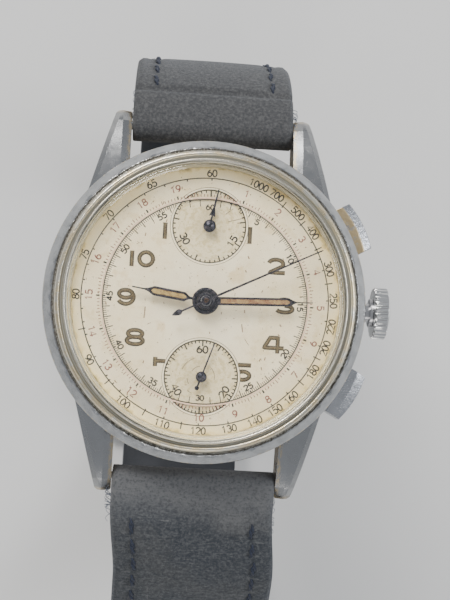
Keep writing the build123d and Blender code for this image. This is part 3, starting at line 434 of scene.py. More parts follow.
def dial_paint():
    """Aged cream dial: yellowed rim, a dark edge that is part brown patina and part painted shade
    under the bezel, foxing, faint specks and turned sub-dial floors.
    """
    s = Shader("aged_dial_paint")
    r = s.radius()
    cloud = s.noise(0.22, 5, 0.6)
    blotch = s.noise(0.7, 5, 0.62)
    speck = s.noise(2.6, 3, 0.5)
    base = s.mix(s.ramp(cloud, 0.3, 0.7), (0.82, 0.725, 0.52), (0.75, 0.645, 0.42))
    lobes = s.times(s.ramp(blotch, 0.52, 0.68), 0.6)
    base = s.mix(lobes, base, (0.66, 0.53, 0.28))
    rim = s.plus(r, s.ramp(blotch, 0.2, 0.8, -0.55, 0.55))
    base = s.layers(base, (
        (rim, 13.2, 14.6, 0.85, (0.88, 0.745, 0.43)),
        (rim, 14.55, 15.05, 0.7, (0.70, 0.53, 0.19)),
        # painted shade mixed with brown patina: the last row darkens the dial's edge where the bezel
        # overhangs it
        (rim, 14.85, 15.35, 0.8, (0.26, 0.20, 0.07)),
    ))
    inner = s.times(s.ramp(r, 8.2, 4.0), 0.4)
    base = s.mix(inner, base, (0.82, 0.75, 0.60))
    for x, y, size in ((3.5, 2.9, 1.5), (11.3, -3.7, 0.8), (10.2, -5.6, 0.7), (-4.6, -3.1, 0.6)):
        spread = s.plus(s.radius(x, y), s.ramp(blotch, 0.3, 0.7, size * 0.5, -size * 0.5))
        base = s.mix(s.ramp(spread, size, size * 0.3, 0.0, 0.42), base, (0.60, 0.42, 0.15))
    for y in (SUB_Y, -SUB_Y):
        base = sub_dial_tone(s, base, y)
    base = s.mix(s.ramp(speck, 0.70, 0.76, 0.0, 0.75), base, (0.22, 0.13, 0.05))
    dots = s.times(s.ramp(s.cells(1.15), 0.085, 0.05), s.ramp(blotch, 0.44, 0.56))
    base = s.mix(dots, base, (0.14, 0.08, 0.03))
    dash = s.noise(1.0, 2, vector=s.stretch((4.0, 1.1, 1), (0, 0, 0.5)))
    base = s.mix(s.ramp(dash, 0.74, 0.78, 0.0, 0.7), base, (0.30, 0.17, 0.06))
    s.set("Base Color", base)
    s.set("Roughness", s.ramp(blotch, 0.3, 0.7, 0.42, 0.62))
    s.set("Specular IOR Level", 0.35)
    grain = s.bump(s.noise(14.0, 3), 0.25, 0.01)
    relief = s.bump(s.ramp(speck, 0.68, 0.76), 0.4, 0.02, grain)
    for y in (SUB_Y, -SUB_Y):
        waves = s.math("SINE", s.times(s.radius(0.0, y), 42.0))
        inside = s.ramp(s.radius(0.0, y), SUB_R, SUB_R - 0.15)
        relief = s.bump(s.times(waves, inside), 0.12, 0.02, relief)
    s.set("Normal", relief)
    return s.material


def sub_dial_tone(s, base, y):
    """Sub-dial floor, greyer and more worn than the dial."""
    r = s.radius(0.0, y)
    inside = s.ramp(r, SUB_R + 0.02, SUB_R - 0.06)
    rub = s.noise(1.0, 4, 0.65, vector=s.polar(0.0, y, around=4.0, out=2.2))
    tone = s.mix(s.ramp(rub, 0.45, 0.62), (0.66, 0.575, 0.37), (0.47, 0.375, 0.175))
    halo = s.times(s.ramp(r, 0.5, 1.3), s.ramp(r, 2.3, 1.5))
    tone = s.mix(s.times(halo, 0.35), tone, (0.42, 0.35, 0.18))
    return s.mix(s.times(inside, 0.75), base, tone)


def ink(name, colour, faded, loss):
    """Printing that has thinned in places."""
    s = Shader(name)
    thin = s.noise(3.2, 4, 0.6)
    return s.surface(s.mix(s.ramp(thin, 0.62 - loss, 0.74 - loss), colour, faded),
                     s.ramp(s.noise(12.0), 0.3, 0.7, 0.5, 0.7),
                     s.bump(thin, 0.2, 0.01))


def lume(name, light, dark, hand=None):
    """Aged luminous paste: granular, cracked, darker in patches and beside a hand's frame.

    hand holds (degrees from 12, half width of the clean middle) of a hand at rest.
    """
    s = Shader(name)
    patch = s.noise(2.2, 5, 0.6)
    grit = s.noise(7.0, 4, 0.7)
    crack = s.cells(3.2, "DISTANCE_TO_EDGE")
    base = s.mix(s.ramp(patch, 0.35, 0.65), light, dark)
    base = s.mix(s.ramp(grit, 0.55, 0.72, 0.0, 0.7), base, tuple(c * 0.45 for c in dark))
    base = s.mix(s.ramp(crack, 0.03, 0.0, 0.0, 0.5), base, tuple(c * 0.3 for c in dark))
    if hand is not None:
        turn = math.radians(hand[0])
        out = s.split()
        across = s.math("SUBTRACT", s.times(out[0], math.cos(turn)),
                        s.times(out[1], math.sin(turn)))
        ragged = s.plus(s.math("ABSOLUTE", across), s.ramp(patch, 0.3, 0.7, -0.03, 0.04))
        base = s.mix(s.ramp(ragged, hand[1], hand[1] + 0.05), base, (0.030, 0.014, 0.014))
    return s.surface(base, 0.8, s.bump(grit, 0.6, 0.03))


def blued_steel(name="blued_steel", deep=(0.012, 0.014, 0.024), worn=(0.075, 0.07, 0.085)):
    """Dark blued steel with rust freckles."""
    s = Shader(name)
    patch = s.noise(2.4, 5)
    fleck = s.noise(8.0, 3)
    base = s.mix(s.ramp(patch, 0.4, 0.68), deep, worn)
    base = s.mix(s.ramp(fleck, 0.64, 0.72, 0.0, 0.7), base, (0.09, 0.045, 0.02))
    return s.surface(base, s.ramp(patch, 0.3, 0.7, 0.28, 0.48), s.bump(fleck, 0.35, 0.015), 0.75)


def suede():
    """Grey-blue suede: brushed nap, rubbed lighter streaks, a soft sheen, and painted light and shade
    along the strap: lighter past the 6 o'clock lug, darker towards 12 o'clock.
    """
    s = Shader("grey_blue_suede")
    cloud = s.noise(0.16, 5, 0.6)
    nap = s.noise(2.6, 6, 0.75)
    fibre = s.noise(1.0, 5, 0.75, vector=s.stretch((0.9, 6.0, 6.0)), warp=0.6)
    streak = s.noise(1.0, 4, 0.65, vector=s.stretch((0.35, 2.4, 2.4)))
    rub = s.noise(1.0, 3, 0.5, vector=s.stretch((3.6, 0.25, 0.25)))
    hairs = s.noise(1.0, 4, 0.7, vector=s.stretch((0.8, 8.0, 8.0)), warp=0.8)
    # position along the 12-6 line with a wobble, used below to paint light and shade onto the strap
    reach = s.plus(s.split()[1], s.ramp(cloud, 0.3, 0.7, -1.0, 1.0))
    fuzz = s.noise(3.0, 3, 0.75)
    base = s.mix(s.ramp(cloud, 0.35, 0.65), (0.044, 0.049, 0.057), (0.064, 0.066, 0.068))
    base = s.layers(base, (
        (nap, 0.44, 0.68, 0.6, (0.105, 0.109, 0.112)),
        (fibre, 0.50, 0.68, 0.75, (0.024, 0.029, 0.038)),
        (streak, 0.55, 0.72, 0.5, (0.125, 0.128, 0.130)),
        (rub, 0.68, 0.76, 0.4, (0.19, 0.19, 0.19)),
        (hairs, 0.57, 0.70, 0.55, (0.20, 0.20, 0.195)),
        # painted light: the first row lightens the strap from just past the 6 o'clock lug towards 12;
        # painted shade: the second darkens the 12 o'clock side again
        (reach, -27.0, -21.5, 0.55, (0.190, 0.190, 0.192)),
        (reach, -5.0, 5.0, 0.62, (0.026, 0.026, 0.027)),
        (fuzz, 0.50, 0.62, 0.24, (0.19, 0.19, 0.187)),
        (fuzz, 0.48, 0.38, 0.35, (0.020, 0.022, 0.027)),
    ))
    s.set("Base Color", base)
    s.set("Roughness", 0.95)
    s.set("Specular IOR Level", 0.15)
    s.set("Sheen Weight", 0.22)
    s.set("Sheen Roughness", 0.5)
    s.set("Sheen Tint", (0.8, 0.84, 0.9))
    relief = s.bump(nap, 0.8, 0.12)
    s.set("Normal", s.bump(fibre, 0.6, 0.07, relief))
    return s.material


def lining():
    """Smooth nubuck lining and the dyed cut edge of the strap."""
    s = Shader("strap_lining")
    pores = s.cells(2.6)
    cloud = s.noise(0.25, 4)
    base = s.mix(s.ramp(cloud, 0.3, 0.7), (0.016, 0.018, 0.022), (0.026, 0.028, 0.033))
    base = s.mix(s.ramp(pores, 0.16, 0.06), base, (0.008, 0.009, 0.012))
    return s.surface(base, 0.8, s.bump(pores, 0.4, 0.04))


def thread():
    """Waxed navy thread."""
    s = Shader("navy_thread")
    fuzz = s.noise(11.0, 4, 0.7)
    s.set("Base Color", s.mix(s.ramp(fuzz, 0.4, 0.7), (0.003, 0.006, 0.018), (0.018, 0.030, 0.062)))
    s.set("Roughness", 0.6)
    s.set("Sheen Weight", 0.08)
    s.set("Normal", s.bump(fuzz, 0.6, 0.03))
    return s.material


def fluff():
    """Loose grey fibres pulled from the strap edges."""
    s = Shader("loose_fibre")
    s.set("Base Color", s.mix(s.noise(6.0), (0.06, 0.075, 0.11), (0.22, 0.25, 0.30)))
    s.set("Roughness", 0.9)
    return s.material


def grained_steel(name="grained_steel", colour=(0.52, 0.52, 0.53)):
    """Straight-grained steel for levers, wheels and screws."""
    s = Shader(name)
    grain = s.noise(1.0, 4, vector=s.stretch((2.0, 30, 12), (0, 0, 0.4)))
    return s.surface(s.mix(s.ramp(grain, 0.35, 0.65), colour, tuple(c * 0.8 for c in colour)),
                     s.ramp(grain, 0.3, 0.7, 0.18, 0.36),
                     s.bump(grain, 0.12, 0.008), 1.0)


def back_steel():
    """Case back: turned rings under scratches from wear."""
    s = Shader("turned_back_steel")
    rings = s.noise(1.0, 3, vector=s.polar(around=1.2, out=26.0))
    marks = s.noise(1.0, 3, vector=s.stretch((0.5, 14, 6), (0, 0, 1.1)))
    relief = s.bump(rings, 0.15, 0.01)
    return s.surface(s.mix(s.ramp(rings, 0.35, 0.65), (0.56, 0.56, 0.56), (0.44, 0.44, 0.45)),
                     s.ramp(rings, 0.3, 0.7, 0.22, 0.38),
                     s.bump(s.ramp(marks, 0.62, 0.68), 0.3, 0.01, relief), 1.0)


def gilt(name="frosted_gilt", colour=(0.78, 0.58, 0.28), rough=0.38):
    """Gilt brass: frosted on plates, smoother on wheels."""
    s = Shader(name)
    frost = s.noise(16.0, 3, 0.7)
    tarnish = s.noise(0.5, 4)
    return s.surface(s.mix(s.ramp(tarnish, 0.4, 0.7), colour, (0.55, 0.38, 0.17)),
                     s.ramp(frost, 0.3, 0.7, rough - 0.1, rough + 0.1),
                     s.bump(frost, 0.3, 0.01), 1.0)


def ruby():
    s = Shader("ruby_jewel")
    s.set("Base Color", s.mix(s.noise(3.0), (0.45, 0.01, 0.05), (0.60, 0.03, 0.09)))
    s.set("Roughness", 0.06)
    s.set("Transmission Weight", 0.4)
    s.set("IOR", 1.77)
    return s.material


def floor_card():
    """Plain pale paper floor."""
    s = Shader("pale_floor")
    return s.surface(s.mix(s.noise(0.05, 3), (0.72, 0.715, 0.70), (0.76, 0.755, 0.745)),
                     0.85,
                     s.bump(s.noise(1.2, 3), 0.05, 0.05))


INKS = {                  # fresh colour, faded colour, loss
    "black_ink": ((0.022, 0.018, 0.012), (0.12, 0.10, 0.06), 0.0),
    "faint_ink": ((0.16, 0.125, 0.06), (0.36, 0.29, 0.16), 0.08),
    "sub_dial_rim": ((0.86, 0.78, 0.60), (0.78, 0.69, 0.48), 0.05),
    "rust_fleck": ((0.20, 0.105, 0.035), (0.38, 0.25, 0.10), 0.05),
    "red_ink": ((0.22, 0.075, 0.05), (0.42, 0.24, 0.16), 0.03),
    "pink_ink": ((0.72, 0.50, 0.38), (0.74, 0.60, 0.44), 0.10),
    "numeral_edge": ((0.026, 0.018, 0.007), (0.055, 0.038, 0.015), 0.05),
}
M = {name: ink(name, *colours) for name, colours in INKS.items()}
M |= {
    "bezel": bezel_metal(),
    "lugs": worn_plating("case_plating", (0.35, 0.355, 0.36), wear=lug_wear, pits=0.3, polish=0.20),
    "pusher": worn_plating("pusher_plating", (0.48, 0.49, 0.51), wear=pusher_wear, pits=1.0,
                           polish=0.2, mottle=0.6),
    "crown": worn_plating("crown_plating", (0.74, 0.74, 0.73), pits=0.6, polish=0.12, mottle=0.15),
    "buckle": worn_plating("buckle_plating", (0.60, 0.60, 0.61), pits=0.4),
    "back": back_steel(),
    "acrylic": acrylic(),
    "dial": dial_paint(),
    "numeral_lume": lume("numeral_lume", (0.155, 0.115, 0.05), (0.085, 0.06, 0.025)),
    "hour_lume": lume("hour_hand_paste", (0.40, 0.285, 0.095), (0.24, 0.145, 0.04),
                      hand=(HOUR_AT, 0.22)),
    "minute_lume": lume("minute_hand_paste", (0.32, 0.215, 0.085), (0.20, 0.085, 0.035),
                        hand=(MINUTE_AT, 0.19)),
    "blued": blued_steel(),
    "post": blued_steel("hub_post", (0.06, 0.035, 0.022), (0.15, 0.085, 0.05)),
    "suede": suede(),
    "lining": lining(),
    "thread": thread(),
    "fluff": fluff(),
    "steel": grained_steel(),
    "spring": grained_steel("spring_steel", (0.30, 0.33, 0.42)),
    "gilt_plate": gilt(),
    "gilt_wheel": gilt("gilt_wheel", (0.86, 0.66, 0.33), 0.24),
    "ruby": ruby(),
    "floor": floor_card(),
}


# ------------------------------------------------------------------ carried-over CAD nodes
def paint(node, material):
    """Give a CAD node its finished material."""
    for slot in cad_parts[node].material_slots:
        slot.material = material


def paint_inner_pieces():
    steel = ("winding_stem", "winding_pinion", "sliding_pinion", "cannon_pinion", "escape_wheel",
             "pallet_fork", "ratchet_wheel", "crown_wheel", "click", "column_wheel",
             "operating_lever", "reset_hammer", "movement_screws", "spring_bar_top",
             "spring_bar_bottom", "buckle_pin", "crown_tube", "pusher_tubes")
    wheels = ("hour_wheel", "minute_wheel", "centre_wheel", "third_wheel", "fourth_wheel",
              "balance", "barrel", "chrono_runner", "minute_runner", "minute_idler")
    plates = ("main_plate", "barrel_bridge", "train_bridge", "pallet_bridge", "balance_cock",
              "chronograph_bridge")
    for names, key in ((steel, "steel"), (wheels, "gilt_wheel"), (plates, "gilt_plate"),
                       (("hairspring", "mainspring"), "spring"), (("jewels",), "ruby"),
                       (("dial",), "dial")):
        for name in names:
            paint(name, M[key])


def finish_metal_pieces():
    """Outside metal with rounded edges: node, body, material, edge width, segments, angle."""
    rows = (
        ("mid_case", "case", "lugs", 0.07, 2, 12), ("case_back", "case", "back", 0.06, 2, 20),
        ("start_pusher", "start_button", "pusher", 0.09, 2, 20),
        ("reset_pusher", "reset_button", "pusher", 0.09, 2, 20),
        ("crown", "crown_stem", "crown", 0.05, 2, 20),
        ("buckle_frame", "buckle", "buckle", 0.22, 3, 20),
        ("buckle_tongue", "tongue", "buckle", 0.16, 3, 20),
    )
    for node, body, look, width, segments, angle in rows:
        softened(node, body, M[look], width, segments, angle)


def finish_hands():
    """Hands with softened edges, their paste and their hubs."""
    hands = (("hour_hand", "hours"), ("minute_hand", "minutes"),
             ("chrono_seconds_hand", "chrono_seconds"), ("minute_counter_hand", "counter"),
             ("small_seconds_hand", "seconds"))
    for node, body in hands:
        softened(node, body, M["blued"], 0.035)
    softened("hour_hand_lume", "hours", M["hour_lume"], 0.05)
    softened("minute_hand_lume", "minutes", M["minute_lume"], 0.05)
    hub_cap("hour_hub_ring", "hours", (0, 0), 0.93, 1.08, 1.44, 0.08)
    hub_cap("minute_hub_ring", "minutes", (0, 0), 1.42, 0.62, 0.80, 0.06)
    centre_post()
    hubs = (("counter_hub", "counter", SUB_Y, 0.70), ("seconds_hub", "seconds", -SUB_Y, 0.61))
    for name, body, y, radius in hubs:
        dome(name, body, y, radius)


def hub_cap(name, body, axis, floor, inner, outer, rise):
    """Raised turned ring on a hand's boss."""
    outline = [(inner, floor), (inner, floor + rise * 0.7), (inner + 0.05, floor + rise)]
    outline += [(outer - 0.06, floor + rise), (outer, floor + rise * 0.5), (outer, floor)]
    obj = lathe(name, outline, body, M["blued"], axis, 96)
    return obj


def centre_post():
    """Brown post of the centre seconds hand with its dark pivot."""
    outline = [(0.0, 2.28), (0.12, 2.3), (0.2, 2.29), (0.25, 2.25), (0.26, 2.15), (0.0, 2.15)]
    post = lathe("centre_post_cap", outline, "chrono_seconds", M["post"], steps=64, closed=False)
    outline = [(0.0, 2.335), (0.05, 2.33), (0.075, 2.31), (0.075, 2.2), (0.0, 2.2)]
    pivot = lathe("centre_pivot", outline, "chrono_seconds", M["blued"], steps=32, closed=False)


def dome(name, body, y, radius):
    """Low domed cap with a turned step on a small hand."""
    outline = [(0.0, 0.70), (0.12, 0.69), (0.2, 0.66), (0.22, 0.62), (radius * 0.75, 0.6),
               (radius * 0.9, 0.55), (radius * 0.93, 0.5), (0.0, 0.5)]
    lathe(name, outline, body, M["blued"], (0, y), 64, closed=False)


# ------------------------------------------------------------------ bezel and crystal
def make_bezel():
    """Snap-on bezel, finely turned."""
    outline = [
        (18.1, -0.75), (18.1, -0.15), (18.08, -0.05), (18.02, 0.02), (17.8, 0.28), (17.5, 0.63),
        (17.2, 0.98), (17.12, 1.07), (17.06, 1.115), (17.02, 1.1), (16.96, 0.98), (16.88, 0.95),
        (16.82, 0.98), (16.76, 1.3), (16.72, 1.6), (16.67, 1.72), (16.6, 1.8), (16.52, 1.88),
        (16.42, 1.92), (16.34, 1.92), (16.28, 1.9), (16.21, 1.81), (16.16, 1.7), (16.12, 1.6),
        (16.06, 1.55), (15.98, 1.55), (15.92, 1.62), (15.88, 1.8), (15.86, 1.92), (15.83, 2.02),
        (15.78, 2.08), (15.73, 2.12), (15.67, 2.13), (15.6, 2.11), (15.54, 2.04), (15.46, 1.93),
        (15.4, 1.87), (15.35, 1.84), (15.35, 1.3), (15.12, 1.3), (15.1, 1.28), (15.1, 0.03),
        (15.9, 0.03), (15.9, -0.15), (16.52, -0.15), (16.52, -0.75),
    ]
    chips = ((17.12, 0.10), (17.06, 0.13), (17.02, 0.12), (16.76, 0.06), (16.72, 0.06))
    obj = lathe("bezel_turned", outline, "case", M["bezel"], steps=420, chips=chips)
    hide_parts("bezel")


def arc_points(radius, top, r_from, r_to, count):
    """Points of a dome of a sphere radius whose crown is at a height."""
    points = []
    for i in range(count):
        r = r_from + (r_to - r_from) * i / (count - 1)
        points.append((r, top - radius + math.sqrt(radius * radius - r * r)))
    return points


def make_crystal():
    """Domed crystal with a rolled shoulder."""
    outer_r = 15.33
    inner_r = 15.09
    foot = 1.31
    edge = 2.25
    top = 4.4
    rise = top - edge
    sphere = (outer_r ** 2 + rise ** 2) / (2 * rise)
    outline = arc_points(sphere, top - 0.01, 0.0, outer_r - 0.32, 40)
    shoulder = outline[-1][1]
    for i in range(1, 7):
        a = math.radians(90 - 15 * i)
        outline.append((outer_r - 0.32 + 0.31 * math.cos(a), shoulder - 0.31 + 0.31 * math.sin(a)))
    outline += [(outer_r - 0.01, foot), (inner_r, foot)]
    outline += arc_points(sphere, top - 0.6, inner_r, 0.0, 40)
    obj = lathe("crystal_dome", outline, "case", M["acrylic"], steps=192, closed=False)
    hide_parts("crystal")


# ------------------------------------------------------------------ dial printing
def bow(cx, cy, rx, ry, start, end, count=14):
    """Points along an elliptic arc, degrees anticlockwise from +X."""
    points = []
    for i in range(count + 1):
        a = math.radians(start + (end - start) * i / count)
        points.append((cx + rx * math.cos(a), cy + ry * math.sin(a)))
    return points


NARROW = {
    "0": [bow(0.3, 0.5, 0.28, 0.5, 0, 360, 20)],
    "1": [[(0.12, 0.78), (0.34, 1.0), (0.34, 0.0)]],
    "2": [bow(0.3, 0.71, 0.28, 0.29, 165, -35) + [(0.02, 0.0), (0.6, 0.0)]],
    "3": [bow(0.28, 0.75, 0.25, 0.25, 155, -90), bow(0.28, 0.27, 0.3, 0.27, 90, -155)],
    "4": [[(0.46, 0.0), (0.46, 1.0), (0.0, 0.28), (0.64, 0.28)]],
    "5": [[(0.54, 1.0), (0.12, 1.0), (0.07, 0.56)] + bow(0.28, 0.32, 0.3, 0.32, 120, -150)],
    "6": [bow(0.3, 0.3, 0.28, 0.3, 0, 360, 18), bow(0.56, 0.3, 0.54, 0.68, 180, 108)],
    "7": [[(0.0, 1.0), (0.6, 1.0), (0.2, 0.0)]],
    "8": [bow(0.3, 0.75, 0.23, 0.25, 0, 360, 16), bow(0.3, 0.26, 0.29, 0.26, 0, 360, 18)],
    "9": [bow(0.3, 0.7, 0.28, 0.3, 0, 360, 18), bow(0.04, 0.7, 0.54, 0.68, 0, -72)],
}
END = 0.13                # how far a flat stroke end runs past the centre-line box
HOUR_GLYPHS = {
    "0": [bow(0.5, 0.5, 0.5, 0.5, 0, 360, 36)],
    "1": [[(0.5, -END), (0.5, 1 + END)]],
    "2": [bow(0.48, 0.67, 0.50, 0.33, 172, -38, 16) + [(0.06, 0.0), (1 + END, 0.0)]],
    "3": [bow(0.46, 0.76, 0.44, 0.24, 160, -90, 14), bow(0.46, 0.26, 0.54, 0.26, 90, -160, 16)],
    "4": [[(0.77, -END), (0.77, 1.0), (0.33, 1.0), (0.0, 0.26), (1 + END, 0.26)]],
    "8": [bow(0.5, 0.75, 0.45, 0.25, 0, 360, 28), bow(0.5, 0.26, 0.5, 0.26, 0, 360, 30)],
    "9": [bow(0.46, 0.72, 0.46, 0.28, 0, 360, 28), bow(0.46, 0.5, 0.54, 0.5, 90, -150, 24)],
}


def text_strokes(text, height, step, stretch):
    """Centred strokes of a number in the small type."""
    width = step * (len(text) - 1) + 0.6 * stretch
    strokes = []
    for i, digit in enumerate(text):
        shift = i * step - width / 2
        for stroke in NARROW[digit]:
            strokes.append([((x * stretch + shift) * height, (y - 0.5) * height) for x, y in stroke])
    return strokes


def round_text(text, radius, degrees, height, centre=(0.0, 0.0), step=0.9, stretch=1.25):
    """Strokes of a number set round a circle, turned to read from the outside at the foot."""
    flip = 95 < degrees % 360 < 265
    turn = math.radians(-degrees + (180 if flip else 0))
    x0, y0 = clock(radius, degrees)
    placed = []
    for stroke in text_strokes(text, height, step, stretch):
        points = []
        for x, y in stroke:
            px = x * math.cos(turn) - y * math.sin(turn)
            py = x * math.sin(turn) + y * math.cos(turn)
            points.append((centre[0] + x0 + px, centre[1] + y0 + py))
        placed.append(points)
    return placed


def tick(degrees, inner, outer, centre=(0.0, 0.0)):
    """Radial tick as a two-point stroke."""
    a = clock(inner, degrees)
    b = clock(outer, degrees)
    return [(centre[0] + a[0], centre[1] + a[1]), (centre[0] + b[0], centre[1] + b[1])]


def circle(radius, centre=(0.0, 0.0), start=0.0, end=360.0):
    count = int(abs(end - start) / 2)
    points = []
    for i in range(count + 1):
        x, y = clock(radius, start + (end - start) * i / count)
        points.append((centre[0] + x, centre[1] + y))
    return points


def outside(strokes, centre, radius):
    """Cut strokes where they enter a circle."""
    kept = []
    for stroke in strokes:
        run = []
        for a, b in zip(stroke, stroke[1:]):
            steps = max(1, int(math.dist(a, b) / 0.05))
            for i in range(steps):
                t = i / steps
                p = (a[0] + (b[0] - a[0]) * t, a[1] + (b[1] - a[1]) * t)
                if math.dist(p, centre) > radius:
                    run.append(p)
                elif run:
                    kept.append(run)
                    run = []
        if math.dist(stroke[-1], centre) > radius:
            run.append(stroke[-1])
        if len(run) > 1:
            kept.append(run)
    return [run for run in kept if len(run) > 1]


def printed(name, groups, z, material, relief=0.35, resolution=1):
    """One mesh of printed strokes. groups holds (strokes, line width)."""
    curve = bpy.data.curves.new(name, "CURVE")
    curve.dimensions = "3D"
    curve.bevel_depth = 0.5
    curve.bevel_resolution = resolution
    curve.use_fill_caps = True
    for strokes, width in groups:
        for stroke in strokes:
            spline = curve.splines.new("POLY")
            loop = math.dist(stroke[0], stroke[-1]) < 1e-6 and len(stroke) > 3
            points = stroke[:-1] if loop else stroke
            spline.points.add(len(points) - 1)
            for point, (x, y) in zip(spline.points, points):
                point.co = (x, y, 0, 1)
                point.radius = width
            spline.use_cyclic_u = loop
    holder = new_object(name + "_curve", curve)
    graph = bpy.context.evaluated_depsgraph_get()
    mesh = bpy.data.meshes.new_from_object(holder.evaluated_get(graph))
    mesh.name = name
    for vertex in mesh.vertices:
        x, y, height = vertex.co
        vertex.co = place((x, y, z + height * relief))
    bpy.data.objects.remove(holder)
    bpy.data.curves.remove(curve)
    mesh.materials.clear()
    mesh.materials.append(material)
    obj = new_object(name, mesh)
    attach(obj, "case")
    return obj


TOP = (0.0, SUB_Y)
FOOT = (0.0, -SUB_Y)
PRINT_LIFT = 0.006        # height of the printing above the paint
SPEED_TURN = 21600        # a speed times its angle in degrees


def clear_of_subs(strokes, radius=SUB_R + 0.12):
    """Keep only what lies outside both sub-dials."""
    return outside(outside(strokes, TOP, radius), FOOT, radius)


def print_seconds_track():
    """Inner track: fifths of a second, seconds and numbers by fives."""
    track = 11.38
    fifths = [tick(i * 1.2, track - 0.40, track) for i in range(300) if i % 5]
    seconds = [tick(i * 6, track - 0.8, track) for i in range(60) if i % 5]
    fives = [tick(i * 30, track - 0.3, track) for i in range(12)]
    numbers = []
    for i in range(1, 12):
        if i != 6:
            numbers += round_text(str(i * 5), 10.62, i * 30, 0.60)
    groups = [([circle(track)], 0.125), (clear_of_subs(fifths, SUB_R), 0.075),
              (clear_of_subs(numbers, SUB_R), 0.155), (clear_of_subs(seconds, SUB_R), 0.105),
              (clear_of_subs(fives, SUB_R), 0.17)]
    printed("seconds_track", groups, PRINT_LIFT, M["black_ink"])
    low = [(round_text("60", 10.55, 0, 0.56), 0.14), (round_text("30", 10.72, 180, 0.54), 0.14)]
    inside = [tick(i * 6, track - 0.75, track) for i in (-3, -2, -1, 1, 2, 3, 27, 28, 29, 31, 32, 33)]
    low.append((inside, 0.09))
    printed("overprinted_numbers", low, SUB_FLOOR + PRINT_LIFT, M["black_ink"])


def print_telemeter():
    """Red distance scale between the two black circles."""
    per_km = 18.0
    numbers = []
    for km in range(1, 20):
        numbers += round_text(str(km), 12.92, km * per_km, 0.74, step=0.84, stretch=1.1)
    marks = [tick(i * per_km / 10, 11.72, 11.98 if i % 5 else 12.15) for i in range(200) if i % 10]
    cross = [tick(km * per_km, 11.72, 12.1) for km in range(20)]
    printed("telemeter_scale", [(marks, 0.085), (numbers, 0.14)], PRINT_LIFT, M["red_ink"])
    printed("telemeter_kilometres", [(cross, 0.17)], PRINT_LIFT, M["black_ink"])
    printed("telemeter_line", [([circle(11.56)], 0.16)], 0.003, M["pink_ink"])


def print_tachymeter():
    """Outer speed scale: a speed sits at SPEED_TURN divided by itself, in degrees."""
    speeds = (1000, 700, 500, 400, 300, 250, 220, 200, 180, 160, 150, 140, 130, 120, 110, 100, 90,
              80, 75, 70, 65, 60)
    between = (85, 95, 105, 115, 170, 190, 275, 350, 450, 600)
    line = 13.78
    numbers = []
    for speed in speeds:
        numbers += round_text(str(speed), 14.36, SPEED_TURN / speed, 0.76, step=0.76, stretch=1.05)
    long_ticks = [tick(SPEED_TURN / v, line - 0.2, line + 0.62) for v in between]
    fine = list(range(60, 100, 2)) + list(range(100, 200, 10)) + list(range(200, 400, 25))
    short = [tick(SPEED_TURN / v, line - 0.26, line) for v in fine]
    groups = [([circle(line)], 0.125), (long_ticks, 0.13), (short, 0.14), (numbers, 0.15)]
    printed("tachymeter_scale", groups, PRINT_LIFT, M["black_ink"])


def print_sub_dial(name, centre, steps, labels, long_every):
    """Scale of one sub-dial, inside a pale rim."""
    ticks = []
    long_ticks = []
    for i in range(steps):
        degrees = 360 * i / steps
        if i % long_every == 0:
            long_ticks.append(tick(degrees, 3.42, 4.04, centre))
        else:
            ticks.append(tick(degrees, 3.76, 4.04, centre))
    numbers = []
    for text, degrees in labels:
        numbers += round_text(text, 3.05, degrees, 0.74, centre)
    groups = [([circle(4.06, centre)], 0.12), (ticks, 0.13), (long_ticks, 0.15), (numbers, 0.175)]
    printed(name, groups, SUB_FLOOR + PRINT_LIFT, M["black_ink"])
    printed(name + "_rim", [([circle(4.22, centre)], 0.15)], -0.02, M["sub_dial_rim"])
    printed(name + "_edge", [([circle(4.35, centre)], 0.055)], 0.004, M["faint_ink"])


BAR_W = 0.48              # thickness of a numeral's stroke
BOXED_HOURS = (           # numeral, centre and outside size
    ("1", -8.40, 4.30, 0.48, 1.86), ("0", -6.82, 4.34, 1.99, 1.96), ("9", -8.77, -0.01, 2.13, 2.03),
    ("8", -7.55, -4.40, 2.27, 2.06), ("1", 4.57, 7.66, 0.48, 1.98), ("1", -4.90, 7.61, 0.48, 1.93),
    ("2", 7.71, 4.40, 2.09, 1.94), ("3", 8.94, 0.01, 2.17, 1.92), ("4", 7.80, -4.37, 2.43, 2.0),
)


def hour_strokes():
    """Big luminous numerals, upright, cut off where a sub-dial begins."""
    strokes = []
    for text, x0, y0, width, height in BOXED_HOURS:
        w = width - BAR_W
        h = height - BAR_W
        for stroke in HOUR_GLYPHS[text]:
            strokes.append([(x0 + (x - 0.5) * w, y0 + (y - 0.5) * h) for x, y in stroke])
    seven = [[(-5.17, -6.46), (-5.17, -7.48)], [(-5.2, -6.88), (-3.2, -6.88), (-4.0, -8.6)]]
    five = [[(5.50, -6.83), (3.9, -6.83), (3.8, -7.6)], bow(4.62, -8.0, 0.74, 0.46, 165, -150, 28)]
    return clear_of_subs(strokes + seven + five, SUB_R)


def print_hours():
    strokes = hour_strokes()
    printed("hour_numeral_edges", [(strokes, BAR_W)], 0.0, M["numeral_edge"], 0.10, 2)
    printed("hour_numerals", [(strokes, 0.26)], 0.0, M["numeral_lume"], 0.34, 2)


